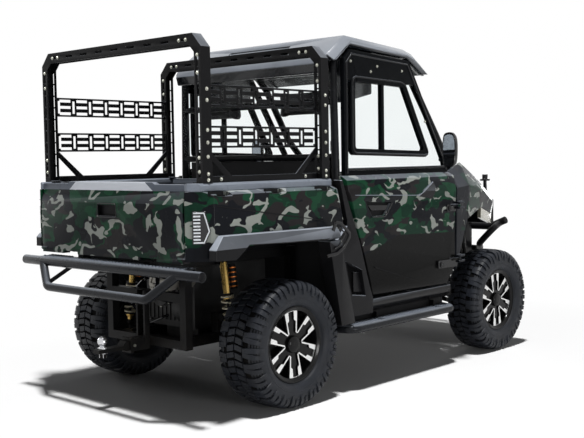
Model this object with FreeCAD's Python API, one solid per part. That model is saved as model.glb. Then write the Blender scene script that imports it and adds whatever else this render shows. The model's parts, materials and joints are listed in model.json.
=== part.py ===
import FreeCAD
import Part
import math
import os

# Two-seat side by side utility vehicle with a closed cab, a tipping load bed and a bed rack.
# Every size is in millimetres. X runs forward, Y to the left and Z up.
# Sizes are set out from the rear axle, and the finished pieces are moved so that the origin
# lies on the ground below the middle of the whole length.

V = FreeCAD.Vector
os.makedirs("parts", exist_ok=True)

# stance
wheelbase = 1937.0
tyre_diameter = 650.0
axle_height = tyre_diameter / 2
rear_track = 1230.0
front_track = 1270.0
rear_tyre_width = 270.0
front_tyre_width = 225.0
front_reach = 2462.0
rear_reach = 714.0
origin_x = (front_reach - rear_reach) / 2

# general fits
panel_gap = 11.0
seam_gap = 4.0
seat_gap = 0.3
running_gap = 6.0
overrun = 40.0

# wheels
rim_diameter = 390.0
bead_diameter = 352.0
rim_wall = 8.0
rim_lip = 7.0
rim_lip_inset = 28.0
hub_bore_radius = 24.0
spoke_thickness = 26.0
spoke_inset = 14.0
spoke_count = 6
spoke_phase = 5.0
lug_count = 22
lug_height = 13.0
tyre_flank_share = 0.86
tyre_side_share = 0.77
lug_foot_share = 0.87
tyre_foot_side_share = 0.97
gap_shoulder_share = 0.8
lug_shoulder_share = 0.96
lug_side_share = 0.95
lug_top_share = 0.76
lug_inner_share = 0.1
window_inner_radius = 74.0
window_outer_radius = 164.0
window_half_angle = 15.0
slot_inner_radius = 96.0
slot_half_angle = 4.0

# chassis
rear_bar_low = 540.0
arm_bracket_width = 24.0
arm_bracket_top = 448.0
tower_half = 18.0
rail_width = 50.0
rail_height = 45.0
rail_y = 225.0
rail_low = 300.0
rail_front = 2200.0
skid_thickness = 5.0
post_size = 45.0
post_y = 300.0
rear_post_x = -350.0
carrier_low = 720.0
carrier_height = 50.0
carrier_rear = -555.0
carrier_cross_x = -520.0
carrier_front = 445.0
front_post_x = 2150.0
front_post_y = 172.0
front_post_top = 900.0
outrigger_x = 500.0
outrigger_front_x = 1520.0
outrigger_y = 640.0
outrigger_low = 400.0
side_tube_size = 40.0

# cab cage
cage_radius = 22.0
cage_bend = 90.0
cage_foot_lift = 8.0
cage_foot_length = 70.0
pillar_x = 460.0
pillar_foot_y = 612.0
pillar_waist_y = 614.0
pillar_head_y = 598.0
waist_height = 1150.0
pillar_head = 1758.0
roof_rail_rear_x = 530.0
roof_rail_height = 1828.0
roof_rail_y = 586.0
roof_rail_front_x = 1080.0
roof_rail_front_height = 1797.0
a_head_x = 1170.0
a_head_height = 1715.0
a_head_y = 592.0
a_base_x = 1405.0
a_base_height = 1379.0
a_base_y = 612.0
a_foot_x = 1590.0
a_foot_height = 1120.0
a_foot_y = 575.0
a_floor_x = 1482.0
a_floor_y = 620.0
a_knee_x = 1554.0
a_knee_height = 1216.0
a_knee_y = 590.0
cage_foot_height = outrigger_low + side_tube_size
rear_bar_height = 1262.0
cage_cross_radius = 18.0

# roof
roof_half = 600.0
roof_rim_half = 642.0
roof_skin = 32.0
recess_low_share = 0.42
recess_high_share = 0.72
recess_depth = 7.0
recess_half = 245.0
roll_low = 1712.0
roll_top = 1808.0
roll_rear_x = 384.0
roll_low_x = 398.0
roll_top_x = 405.0
roll_front_x = 427.0
roll_belly = 1760.0
roof_peak_x = 559.0
roof_peak = 1921.0
roof_front_x = 1092.0
roof_front = 1880.0
visor_bend_x = 1167.0
visor_bend = 1860.0
visor_tip_x = 1302.0
visor_tip = 1745.0
visor_edge = 12.0
rim_rear_x = 434.0
rim_rear_low = 1772.0
rim_knee_x = 535.0
rim_knee_low = 1853.0
rim_front_x = 1078.0
rim_front_low = 1823.0
rim_tip_x = 1230.0
rim_tip_low = 1738.0
rim_bevel = 35.0

# doors
door_inner_y = 628.0
door_frame_y = 656.0
door_lower_inner_y = 642.0
door_belt_y = 662.0
door_shoulder_y = 700.0
door_crease_y = 720.0
door_waist_y = 706.0
door_bottom_y = 708.0
door_belt = 1160.0
door_shoulder = 1138.0
door_crease = 1050.0
door_waist = 860.0
door_lip = 560.0
door_bottom = 498.0
door_bottom_front = 486.0
door_rear_x = 488.0
door_front_x = 1465.0
door_top_rear = 1788.0
door_top_knee_x = 540.0
door_top_knee = 1838.0
door_top_front_x = 1072.0
door_top_front = 1808.0
door_head_x = 1134.0
door_head = 1715.0
door_a_base_x = 1400.0
door_a_base = 1306.0
door_corner_x = 1445.0
door_corner = 1232.0
door_belt_rear_x = 416.0
door_rear_waist_x = 569.0
door_rear_waist = 772.0
door_rear_low_x = 644.0
door_rear_low = 545.0
door_bottom_rear_x = 668.0
door_bottom_front_x = 1395.0
door_front_low = 600.0
door_rim_width = 26.0
insert_rear_x = 545.0
insert_top_rear = 1705.0
insert_front_x = 1034.0
insert_top_front = 1690.0
insert_low_front_x = 1288.0
insert_low_front = 1252.0
insert_low_rear = 1271.0
insert_width = 36.0
insert_round = 34.0
insert_bar_x = 812.0
insert_bar_width = 24.0
glass_thickness = 5.0
handle_rear_x = 585.0
handle_front_x = 812.0
handle_top = 1018.0
handle_low = 935.0
handle_depth = 22.0
handle_nose = 60.0

# door hinges
hinge_x = 1471.5
hinge_y = 733.0
hinge_radius = 9.0
hinge_length = 46.0
hinge_upper = 958.0
hinge_lower = 632.0
hinge_leaf_length = 62.0
hinge_leaf_thickness = 7.0

# mirrors
mirror_x = 1290.0
mirror_depth = 42.0
mirror_inner_y = 748.0
mirror_outer_y = 840.0
mirror_low = 1190.0
mirror_high = 1396.0
mirror_round = 20.0
mirror_arm_radius = 11.0
mirror_foot_x = 1392.0
mirror_foot_height = 1236.0

# front body stations, from the door to the nose
fender_stations = [1478.0, 1620.0, 1862.0, 2092.0, 2235.0]
fender_top_y = [655.0, 640.0, 597.0, 560.0, 490.0]
fender_top = [1165.0, 1218.0, 1122.0, 1006.0, 962.0]
fender_shoulder_y = [716.0, 708.0, 655.0, 590.0, 500.0]
fender_shoulder = [1060.0, 1075.0, 1040.0, 952.0, 915.0]
fender_low_y = [706.0, 700.0, 642.0, 572.0, 490.0]
fender_low = [560.0, 868.0, 925.0, 872.0, 856.0]
fender_skin = 30.0
hood_centre = [1176.0, 1168.0, 1120.0, 1052.0, 1000.0]
hood_flank_share = 0.62
hood_flank_drop = 8.0
hood_skin = 26.0
lamp_low = [857.0, 808.0, 797.0]
lamp_skin = 26.0
nose_front_x = 2322.0
nose_low = 560.0
nose_half = 300.0
nose_low_half = 250.0
nose_back_x = 2225.0
grille_low = 700.0
grille_high = 872.0
grille_half = 235.0
grille_depth = 30.0
grille_bars = 5
grille_bar_share = 0.42
stalk_x = 2190.0
stalk_y = 470.0
stalk_radius = 12.0
stalk_base = 962.0
stalk_head = 1085.0
stalk_top = 1128.0
stalk_plate = 34.0
stalk_cap = 19.0

# side panels and sills
side_top = 1140.0
leg_knee = 758.0
pocket_low_front = 503.0
side_rear_top_x = 386.0
side_rear_mid_x = 443.0
side_rear_mid = 925.0
side_rear_low = 893.0
side_step_x = 362.0
side_step = 826.0
leg_top_x = 258.0
leg_top = 826.0
leg_low_x = 348.0
leg_low = 372.0
leg_front_low_x = 462.0
leg_outer_y = 738.0
leg_inner_y = 655.0
panel_outer_y = 704.0
panel_inner_y = 655.0
pocket_rear_x = 425.0
pocket_top = 705.0
pocket_front_x = 560.0
pocket_front_top = 648.0
pocket_low = 520.0
pocket_low_rear_x = 475.0
pocket_low_front_x = 592.0
pocket_depth = 34.0
sill_low = 400.0
sill_front_x = 1440.0
sill_outer_y = 690.0
sill_tuck = 34.0

# side steps
step_y = 745.0
step_radius = 22.0
step_height = 342.0
step_rear_x = 395.0
step_front_x = 1420.0
step_root_y = 630.0
step_bend = 70.0
step_splay = 40.0
step_tread_thickness = 6.0
step_tread_inner_y = 652.0

# load bed
bed_runner_rear_x = -490.0
bed_rib_depth = 26.0
bed_lug_wall = 7.0
bed_side_rear_x = -600.0
bed_front_top_x = 376.0
bed_front_knee = 932.0
bed_front_low = 905.0
bed_arch_x = -420.0
bed_tail_x = -470.0
bed_side_shoulder = 1094.0
bed_cap_inner_y = 584.0
bed_cap_rear_x = -590.0
bed_cap_round = 9.0
tie_slot_x = [-480.0, -113.0, 260.0]
tie_slot_length = 98.0
tie_slot_depth = 12.0
tie_slot_height = 24.0
bed_rear_x = -602.0
bed_corner_x = -502.0
bed_front_x = 372.0
bed_top = 1149.0
bed_cap_low = 1112.0
bed_inner_y = 592.0
bed_cap_y = 655.0
bed_side_y = 690.0
bed_low_y = 682.0
bed_low = 842.0
bed_tail_low = 786.0
bed_front_knee_x = 426.0
bed_floor_top = 850.0
bed_floor_thickness = 16.0
bed_floor_rear_x = -550.0
bed_wall = 18.0
bed_rib_width = 40.0
bed_rib_count = 5
bed_pivot_x = -562.0
bed_pivot_height = 797.0
bed_pivot_radius = 9.0
bed_lug_thickness = 10.0
bed_lug_y = 345.0

# rear flares
flare_inner_y = 690.3
flare_outer_y = 741.0
flare_bevel = 12.0
flare_slope = 16.0
flare_rear_x = -542.0
flare_front_x = 350.0
flare_top = 906.0
flare_fall = 6.0
flare_tip = 866.0
flare_low = 838.0
flare_arch_front_x = 200.0
flare_arch_rear_x = -322.0
flare_tail_front_x = -410.0
flare_tail_low = 792.0
flare_tail_top = 842.0

# tail lamps
tail_lamp_width = 86.0
tail_lamp_height = 152.0
tail_lamp_thickness = 14.0
tail_lamp_low = 868.0
tail_lamp_inset = 10.0

# tailgate
gate_skin = 12.0
gate_pocket_high = 838.0
gate_notch_high = 788.0
gate_crest = 6.0
gate_crest_half = 340.0
gate_half = 583.0
gate_thickness = 42.0
gate_low = 775.0
gate_shoulder = 1052.0
gate_lean = 20.0
gate_hinge_x = -600.0
gate_hinge_height = 796.0
gate_grip_half = 72.0
gate_grip_low = 985.0
gate_grip_high = 1040.0
gate_grip_depth = 20.0
gate_pin_radius = 6.0

# bed rack
rack_inner_drop = 22.0
rack_beam_slots = 9
panel_rows = 3
rack_rear_x = -528.0
rack_front_x = 307.0
rack_depth = 58.0
rack_width = 50.0
rack_outer_y = 650.0
rack_shoulder = 1780.0
rack_top = 1846.0
rack_top_y = 589.0
rack_beam = 55.0
rack_plate = 5.0
rack_slot_width = 12.0
rack_slot_length = 56.0
rack_slot_count = 9
rack_foot_height = 26.0
panel_thickness = 5.0
panel_y = 606.0
panel_upper_low = 1508.0
panel_upper_high = 1612.0
panel_lower_low = 1314.0
panel_lower_high = 1418.0
panel_cells = 7
panel_bar_slot = 15.0
panel_tall_slot = 16.0
panel_tall_share = 0.66
panel_cell_share = 0.66
gusset_top = 1302.0
gusset_low = 1176.0
gusset_reach = 168.0
gusset_width = 34.0
base_rail_thickness = 5.0
base_rail_high = 1180.0

# rear bumper and hitch
tread_skirt_height = 24.0
drawbar_nose = 20.0
drawbar_plate = 20.0
drawbar_nut = 24.0
ball_neck = 12.0
bumper_radius = 25.0
bumper_x = -617.0
bumper_half = 727.0
bumper_height = 726.0
hoop_radius = 22.0
hoop_join_y = 560.0
hoop_x = -692.0
hoop_bend_y = 412.0
hoop_height = 604.0
hoop_bend = 60.0
tread_front_x = -532.0
tread_half = 590.0
tread_thickness = 5.0
strut_width = 40.0
strut_thickness = 8.0
strut_y = 300.0
receiver_size = 64.0
receiver_wall = 6.5
receiver_low = 280.0
receiver_rear_x = -500.0
drawbar_size = 50.0
drawbar_end_x = -688.0
ball_radius = 25.0
ball_height = 341.0
ball_x = -648.0
ball_shank_radius = 13.0
hitch_post_half = 36.0

# front bumper
front_drop_y = 365.0
front_loop_x = 2262.0
front_loop_height = 752.0
front_loop_low = 652.0
front_tube_radius = 25.0
front_tube_x = 2437.0
front_tube_height = 757.0
front_wing_x = 2432.0
front_wing_y = 486.0
front_wing_height = 806.0
front_hoop_y = 380.0
front_hoop_low_y = 300.0
front_hoop_low = 600.0
front_hoop_low_x = 2400.0
front_mount_y = 172.0

# suspension
arm_wall = 5.0
upright_tuck = 30.0
shaft_inner_height = 392.0
knuckle_clear = 60.0
steer_rack_x = 1825.0
steer_arm_half = 9.0
wheel_rim_gap = 0.3
arm_radius = 15.0
arm_spread = 150.0
lower_arm_height = 322.0
upper_arm_height = 430.0
lower_ball_height = 254.0
upper_ball_height = 403.0
ball_joint_radius = 19.0
upright_thickness = 34.0
upright_width = 64.0
hub_carrier_radius = 48.0
disc_radius = 118.0
disc_thickness = 6.0
shaft_radius = 14.0
boot_radius = 36.0
boot_length = 82.0
king_y = 565.0
king_shoulder = 11.0
king_pin_radius = 12.0
steer_arm_length = 120.0
steer_arm_y = 498.0
shock_radius = 30.0
shock_body_radius = 19.0
shock_rear_x = -150.0
shock_front_x = 2057.0
shock_mount_radius = 11.0
shock_top_y = 364.0
shock_low_y = 424.0
shock_top_rear = 742.0
shock_top_front = 760.0
shock_foot = 350.0
shock_body_share = 0.42
reservoir_radius = 20.0
reservoir_length = 120.0
rack_housing_radius = 26.0
rack_housing_half = 190.0
tie_rod_radius = 8.0

# power unit
engine_rear_x = -200.0
engine_front_x = 330.0
engine_half = 195.0
engine_low = 372.0
engine_high = 700.0
transaxle_half_x = 120.0
transaxle_half_y = 130.0
transaxle_low = 300.3
front_diff_half_x = 80.0
front_diff_half_y = 130.0
front_diff_low = 300.3
front_diff_high = 450.0

# cab interior
wall_low = 790.0
column_length = 210.0
dash_step = 60.0
cowl_half = 540.0
cluster_half = 120.0
cluster_drop = 70.0
cluster_rise = 24.0
steering_spoke_angles = (0.0, 180.0, 270.0)
screen_top_share = 0.25
screen_foot_share = 1.2
screen_bend_gap = 0.4
screen_half = 596.0
rear_pane_half = 600.0
floor_thickness = 10.0
floor_half = 596.0
floor_rear_x = 478.0
floor_front_x = 1530.0
firewall_top = 1010.0
wall_x = 462.0
wall_thickness = 12.0
wall_half = 560.0
wall_top = 1243.0
seat_base_rear_x = 520.0
seat_base_front_x = 1010.0
seat_base_half = 560.0
seat_base_high = 800.0
seat_y = 320.0
seat_half = 235.0
cushion_rear_x = 600.0
cushion_front_x = 1060.0
cushion_thickness = 110.0
back_low_x = 590.0
back_top_x = 505.0
back_thickness = 105.0
back_top = 1290.0
seat_round = 26.0
headrest_depth = 62.0
headrest_low = 1482.0
headrest_high = 1640.0
headrest_inner_y = 166.0
headrest_outer_y = 492.0
headrest_bar_height = 1560.0
pod_rear_x = 595.0
pod_front_x = 853.0
pod_inner_y = 420.0
pod_outer_y = 556.0
pod_low = 1560.0
pod_high = 1892.0
pod_rise = 56.0
dash_rear_x = 1335.0
dash_low = 940.0
dash_top = 1150.0
dash_half = 575.0
column_y = 320.0
column_radius = 20.0
wheel_tilt = 28.0
steering_x = 1175.0
steering_height = 1092.0
steering_radius = 172.0
steering_grip = 14.0
steering_hub = 34.0
glass_edge = 6.0
rear_glass_low = 1284.0
rear_glass_high = 1705.0


def box(x_low, x_high, y_low, y_high, z_low, z_high):
    """A block between two corners."""
    return Part.makeBox(x_high - x_low, y_high - y_low, z_high - z_low, V(x_low, y_low, z_low))


def face_of(points):
    """A flat face on a closed outline of points."""
    return Part.Face(Part.makePolygon(list(points) + [points[0]]))


def slab_y(outline, y_low, y_high):
    """An XZ outline carried along Y."""
    return face_of([V(x, y_low, z) for x, z in outline]).extrude(V(0, y_high - y_low, 0))


def slab_x(outline, x_low, x_high):
    """A YZ outline carried along X."""
    return face_of([V(x_low, y, z) for y, z in outline]).extrude(V(x_high - x_low, 0, 0))


def slab_z(outline, z_low, z_high):
    """An XY outline carried along Z."""
    return face_of([V(x, y, z_low) for x, y in outline]).extrude(V(0, 0, z_high - z_low))


def loft(sections):
    """A ruled solid through closed outlines of equal counts."""
    wires = [Part.makePolygon(list(points) + [points[0]]) for points in sections]
    return Part.makeLoft(wires, True, True)


def rod(start, end, radius):
    """A round bar between two points."""
    axis = end - start
    return Part.makeCylinder(radius, axis.Length, start, axis)


def path(points, bend):
    """Straight runs joined by tangent arcs."""
    edges = []
    last = points[0]
    for index in range(1, len(points) - 1):
        corner = points[index]
        back = points[index - 1] - corner
        onward = points[index + 1] - corner
        half_turn = (math.pi - back.getAngle(onward)) / 2
        reach = min(bend * math.tan(half_turn), back.Length / 2.2, onward.Length / 2.2)
        radius = reach / math.tan(half_turn)
        start = corner + V(back).normalize() * reach
        end = corner + V(onward).normalize() * reach
        middle = (V(back).normalize() + V(onward).normalize()).normalize()
        apex = corner + middle * (radius / math.cos(half_turn) - radius)
        edges.append(Part.LineSegment(last, start).toShape())
        edges.append(Part.Arc(start, apex, end).toShape())
        last = end
    edges.append(Part.LineSegment(last, points[-1]).toShape())
    return Part.Wire(edges)


def pipe(points, radius, bend):
    """A round tube along straight runs joined by tangent arcs."""
    spine = path(points, bend)
    start = points[0]
    ring = Part.Wire(Part.makeCircle(radius, start, points[1] - start))
    return spine.makePipeShell([ring], True, False)


def fuse(shapes):
    """One body out of several that meet."""
    if len(shapes) == 1:
        return shapes[0]
    return shapes[0].fuse(list(shapes[1:])).removeSplitter()


def cut(shape, tools):
    """A body less its cutters."""
    return shape.cut(list(tools))


def mirrored(shape):
    """The same piece on the other side."""
    return shape.mirror(V(0, 0, 0), V(0, 1, 0))


def rounded(points, radius):
    """A closed XZ outline with every corner rounded, as a wire at Y = 0."""
    count = len(points)
    corners = [V(x, 0, z) for x, z in points]
    edges = []
    ends = []
    for index in range(count):
        corner = corners[index]
        back = corners[index - 1] - corner
        onward = corners[(index + 1) % count] - corner
        half_turn = (math.pi - back.getAngle(onward)) / 2
        reach = radius * math.tan(half_turn)
        start = corner + V(back).normalize() * reach
        end = corner + V(onward).normalize() * reach
        middle = (V(back).normalize() + V(onward).normalize()).normalize()
        apex = corner + middle * (radius / math.cos(half_turn) - radius)
        ends.append((start, apex, end))
    for index in range(count):
        start, apex, end = ends[index]
        edges.append(Part.Arc(start, apex, end).toShape())
        edges.append(Part.LineSegment(end, ends[(index + 1) % count][0]).toShape())
    return Part.Wire(edges)


def rounded_slab(points, radius, y_low, y_high):
    """A rounded XZ outline carried along Y."""
    wire = rounded(points, radius)
    wire.translate(V(0, y_low, 0))
    return Part.Face(wire).extrude(V(0, y_high - y_low, 0))


def inset(points, distance):
    """An XZ outline moved inwards by an even distance. The outline runs clockwise as seen
    from the right-hand side, or the other way round: the smaller result is kept."""
    def shifted(step):
        moved = []
        count = len(points)
        for index in range(count):
            ax, az = points[index - 1]
            bx, bz = points[index]
            cx, cz = points[(index + 1) % count]
            first = math.hypot(bx - ax, bz - az)
            second = math.hypot(cx - bx, cz - bz)
            n1 = ((bz - az) / first, -(bx - ax) / first)
            n2 = ((cz - bz) / second, -(cx - bx) / second)
            scale = step / (1 + n1[0] * n2[0] + n1[1] * n2[1])
            moved.append((bx + (n1[0] + n2[0]) * scale, bz + (n1[1] + n2[1]) * scale))
        return moved

    def area(outline):
        total = 0
        for index in range(len(outline)):
            ax, az = outline[index - 1]
            bx, bz = outline[index]
            total += ax * bz - bx * az
        return abs(total)
    return min((shifted(distance), shifted(-distance)), key=area)


def solids_of(shapes):
    """Every solid in a list of shapes."""
    found = []
    for shape in shapes:
        found.extend(shape.Solids)
    return found


def save(node, shapes):
    """Move a node's solids to the origin of the part and write them."""
    solids = solids_of(shapes)
    body = solids[0] if len(solids) == 1 else Part.makeCompound(solids)
    body = body.copy()
    body.translate(V(-origin_x, 0, 0))
    body.exportStep("parts/" + node + ".step")


# Wheels: the tyre out to the tips of its lugs, and a rim with six split spokes.
def tyre(width):
    """A knobbly tyre of flat faces, with a lug on every other step and the two halves' lugs set between each other."""
    half = width / 2
    tread = tyre_diameter / 2
    base = tread - lug_height
    bead = bead_diameter / 2 + seat_gap
    rim_half = half - rim_lip_inset - rim_lip - seat_gap
    flange = rim_diameter / 2 + seat_gap
    wall_line = [(bead, rim_half), (flange, rim_half), (flange, half * tyre_flank_share),
                 (tread * tyre_side_share, half), (tread * lug_foot_share, half * tyre_foot_side_share)]
    gap_line = [(base, half * gap_shoulder_share), (base, 0)]
    lug_line = [(tread * lug_shoulder_share, half * lug_side_share), (tread, half * lug_top_share),
                (tread, half * lug_inner_share), (base, 0)]
    steps = lug_count * 2
    stretch = 1 / math.cos(math.pi / steps)

    def ring_points(line, sign, step):
        """A line of the section at one step round the tyre, its flats out to the radii."""
        turn = (step + 0.5) * 2 * math.pi / steps - math.pi / 2
        return [V(radius * stretch * math.cos(turn), side * sign, radius * stretch * math.sin(turn))
                for radius, side in line]

    faces = []
    for step in range(steps):
        bore = ring_points([(bead, -rim_half), (bead, rim_half)], 1, step)
        bore += list(reversed(ring_points([(bead, -rim_half), (bead, rim_half)], 1, step + 1)))
        faces.append(face_of(bore))
        for sign, first in ((1, 0), (-1, 1)):
            raised = (step + first) % 2 == 0
            line = wall_line + (lug_line if raised else gap_line)
            near = ring_points(line, sign, step)
            away = ring_points(line, sign, step + 1)
            for index in range(len(line) - 1):
                faces.append(face_of([near[index], near[index + 1], away[index + 1], away[index]]))
            flank = [wall_line[-1]] + lug_line + [gap_line[0]]
            faces.append(face_of(ring_points(flank, sign, step)))
    return Part.makeSolid(Part.makeShell(faces))


def polar(radius, angle, side):
    """A point in the plane of a wheel."""
    turn = math.radians(angle)
    return V(radius * math.cos(turn), side, radius * math.sin(turn))


def rim(width):
    """Barrel, lips, hub and a disc with a wide window between the spokes and a slot in each."""
    half = width / 2 - rim_lip_inset
    bead = bead_diameter / 2
    lip = rim_diameter / 2
    inner = bead - rim_wall
    section = [
        (inner, -half), (lip, -half), (lip, -half + rim_lip), (bead, -half + rim_lip),
        (bead, half - rim_lip), (lip, half - rim_lip), (lip, half), (inner, half),
    ]
    barrel = face_of([V(radius, side, 0) for radius, side in section])
    barrel = barrel.revolve(V(0, 0, 0), V(0, 1, 0), 360)
    outer = half - spoke_inset
    low = outer - spoke_thickness
    disc = Part.makeCylinder(inner + rim_wall / 2, spoke_thickness, V(0, low, 0), V(0, 1, 0))
    tools = [Part.makeCylinder(hub_bore_radius, spoke_thickness, V(0, low, 0), V(0, 1, 0))]
    for index in range(spoke_count):
        middle = (index + 0.5) * 360 / spoke_count + 90 + spoke_phase
        outline = [
            polar(window_inner_radius, middle, low),
            polar(window_outer_radius, middle - window_half_angle, low),
            polar(window_outer_radius, middle, low),
            polar(window_outer_radius, middle + window_half_angle, low),
        ]
        tools.append(face_of(outline).extrude(V(0, spoke_thickness, 0)))
        spoke = index * 360 / spoke_count + 90 + spoke_phase
        outline = [
            polar(slot_inner_radius, spoke, low),
            polar(window_outer_radius, spoke - slot_half_angle, low),
            polar(window_outer_radius, spoke + slot_half_angle, low),
        ]
        tools.append(face_of(outline).extrude(V(0, spoke_thickness, 0)))
    return fuse([barrel, cut(disc, tools)])


def wheel_pieces(side, x, track, width, name):
    """Tyre and rim of one wheel, its open face outwards."""
    middle = V(x, track / 2, axle_height)
    for kind, make in (("tyre", tyre), ("rim", rim)):
        piece = make(width)
        piece.translate(middle)
        save(kind + "_" + name, [piece if side == "left" else mirrored(piece)])


wheel_pieces("left", 0, rear_track, rear_tyre_width, "rear_left")
wheel_pieces("right", 0, rear_track, rear_tyre_width, "rear_right")
wheel_pieces("left", wheelbase, front_track, front_tyre_width, "front_left")
wheel_pieces("right", wheelbase, front_track, front_tyre_width, "front_right")

# Chassis: two low rails, cross members, uprights, bed carriers and outriggers.
rail_high = rail_low + rail_height
rail_rear = rear_post_x - post_size / 2
rail_in = rail_y - rail_width / 2
rail_out = rail_y + rail_width / 2
half_post = post_size / 2
post_in = post_y - half_post
post_out = post_y + half_post
carrier_high = carrier_low + carrier_height
tube_high = outrigger_low + side_tube_size
frame = []
for sign in (1, -1):
    def ybox(x_low, x_high, y_in, y_out, z_low, z_high):
        low, high = sorted((sign * y_in, sign * y_out))
        return box(x_low, x_high, low, high, z_low, z_high)
    frame.append(ybox(rail_rear, rail_front, rail_in, rail_out, rail_low, rail_high))
    frame.append(ybox(rear_post_x - half_post, rear_post_x + half_post, post_in, post_out, rail_low, carrier_high))
    frame.append(ybox(carrier_rear, carrier_front, post_in, post_out, carrier_low, carrier_high))
    frame.append(ybox(carrier_front - post_size, carrier_front, post_in, post_out, rail_low, carrier_high))
    frame.append(ybox(front_post_x - half_post, front_post_x + half_post, front_post_y - half_post,
                      front_post_y + half_post, rail_high, front_post_top))
    frame.append(ybox(outrigger_x, outrigger_front_x, outrigger_y - side_tube_size, outrigger_y,
                      outrigger_low, tube_high))
    for x in (outrigger_x, outrigger_front_x - side_tube_size):
        frame.append(ybox(x, x + side_tube_size, rail_in, outrigger_y, outrigger_low, tube_high))
        frame.append(ybox(x, x + side_tube_size, rail_in, rail_out, rail_high, outrigger_low))
    frame.append(ybox(pillar_x - cage_radius, outrigger_x, outrigger_y - side_tube_size, outrigger_y,
                      outrigger_low, tube_high))
for x_low, half in ((rail_rear, post_out), (rear_post_x - half_post, post_out), (carrier_front - post_size, post_out),
                    (outrigger_front_x, rail_in), (rail_front - rail_width, rail_in)):
    frame.append(box(x_low, x_low + post_size, -half, half, rail_low, rail_high))
frame.append(box(carrier_cross_x, carrier_cross_x + post_size, -post_out, post_out, carrier_low, carrier_high))
frame.append(box(rear_post_x - half_post, rear_post_x + half_post, -post_out, post_out, carrier_low, carrier_high))
frame.append(box(front_post_x - half_post, front_post_x + half_post, -front_post_y, front_post_y,
                 front_post_top - post_size, front_post_top))
frame.append(box(rear_post_x, rail_front, -rail_out, rail_out, rail_low - skid_thickness, rail_low))
frame.append(box(rear_post_x - half_post, rear_post_x + half_post, -post_out, post_out, rear_bar_low,
                 rear_bar_low + rail_height))
frame.append(box(steer_rack_x - rack_housing_radius, steer_rack_x + rack_housing_radius, -rail_in, rail_in,
                 rail_low, rail_high))
for axle_x in (0, wheelbase):
    for end in (1, -1):
        middle = axle_x + end * arm_spread / 2
        for sign in (1, -1):
            low, high = sorted((sign * rail_in, sign * rail_out))
            frame.append(box(middle - arm_bracket_width / 2, middle + arm_bracket_width / 2, low, high, rail_high,
                             arm_bracket_top))
for sign in (1, -1):
    low, high = sorted((sign * rail_in, sign * rail_out))
    frame.append(box(shock_front_x - tower_half, shock_front_x + tower_half, low, high, rail_high,
                     shock_top_front + shock_body_radius / 2))
    low, high = sorted((sign * rail_in, sign * post_out))
    frame.append(box(shock_front_x - tower_half, shock_front_x + tower_half, low, high,
                     shock_top_front - shock_body_radius, shock_top_front + shock_body_radius / 2))
pivot_ears = []
for sign in (1, -1):
    low, high = sorted((sign * (post_y - bed_lug_thickness / 2), sign * (post_y + bed_lug_thickness / 2)))
    pivot_ears.append(slab_y([
        (bed_pivot_x, bed_pivot_height - bed_pivot_radius), (carrier_rear, carrier_high - seam_gap),
        (carrier_rear + post_size, carrier_high - seam_gap), (bed_pivot_x, bed_pivot_height + bed_pivot_radius),
    ], low, high))
    inner, outer = sorted((sign * (post_y - bed_lug_thickness / 2), sign * (bed_lug_y + bed_lug_thickness)))
    pivot_ears.append(rod(V(bed_pivot_x, inner, bed_pivot_height), V(bed_pivot_x, outer, bed_pivot_height),
                          bed_pivot_radius))
save("chassis_frame", [fuse(frame + pivot_ears)])

# Cab cage: one bent tube on each side, joined by cross tubes.
cage_side = [
    V(pillar_x, pillar_foot_y, cage_foot_height + cage_foot_lift),
    V(pillar_x, pillar_waist_y, waist_height),
    V(pillar_x, pillar_head_y, pillar_head),
    V(roof_rail_rear_x, roof_rail_y, roof_rail_height),
    V(roof_rail_front_x, roof_rail_y, roof_rail_front_height),
    V(a_head_x, a_head_y, a_head_height),
    V(a_base_x, a_base_y, a_base_height),
    V(a_knee_x, a_knee_y, a_knee_height),
    V(a_foot_x, a_foot_y, a_foot_height),
    V(a_floor_x, a_floor_y, cage_foot_height + cage_foot_lift),
]
side_tube = pipe(cage_side, cage_radius, cage_bend)
cross = []
for x, y, z in (
    (roof_rail_rear_x, roof_rail_y, roof_rail_height - seam_gap),
    (roof_rail_front_x, roof_rail_y, roof_rail_front_height - seam_gap),
    (pillar_x, pillar_waist_y, rear_bar_height),
    (pillar_x, pillar_head_y, headrest_bar_height),
    (a_foot_x, a_foot_y, a_foot_height),
):
    cross.append(rod(V(x, -y + cage_radius / 2, z), V(x, y - cage_radius / 2, z), cage_cross_radius))
feet = []
for x in (pillar_x, a_floor_x):
    plate = box(x - cage_foot_length / 2, x + cage_foot_length / 2, outrigger_y - side_tube_size, outrigger_y,
                cage_foot_height + seat_gap, cage_foot_height + cage_foot_lift + seam_gap)
    feet += [plate, mirrored(plate)]
cage = fuse([side_tube, mirrored(side_tube)] + cross + feet)
save("cab_cage", [cage])

# Roof: a rounded rear roll, a raked rear face, a nearly flat top, a drooping visor and bevelled rims.
roof_top_line = [
    (roll_low_x, roll_low), (roll_rear_x, roll_belly), (roll_top_x, roll_top), (roof_peak_x, roof_peak),
    (roof_front_x, roof_front), (visor_bend_x, visor_bend), (visor_tip_x, visor_tip),
]
roof_inner_line = [
    (visor_tip_x - visor_edge, visor_tip - visor_edge / 2),
    (visor_bend_x - visor_edge, visor_bend - roof_skin),
    (roof_front_x - visor_edge / 2, roof_front - roof_skin),
    (roof_peak_x + visor_edge, roof_peak - roof_skin),
    (roll_front_x, roll_top - visor_edge),
    (roll_front_x, roll_low),
]
rim_low_line = [
    (rim_tip_x, rim_tip_low), (rim_front_x, rim_front_low), (rim_knee_x, rim_knee_low), (rim_rear_x, rim_rear_low),
]
crown = slab_y(roof_top_line + roof_inner_line, -roof_half, roof_half)
rim_top_line = roof_top_line[3:]
near_line = [(roll_top_x, roll_top)] + rim_top_line + rim_low_line
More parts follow.
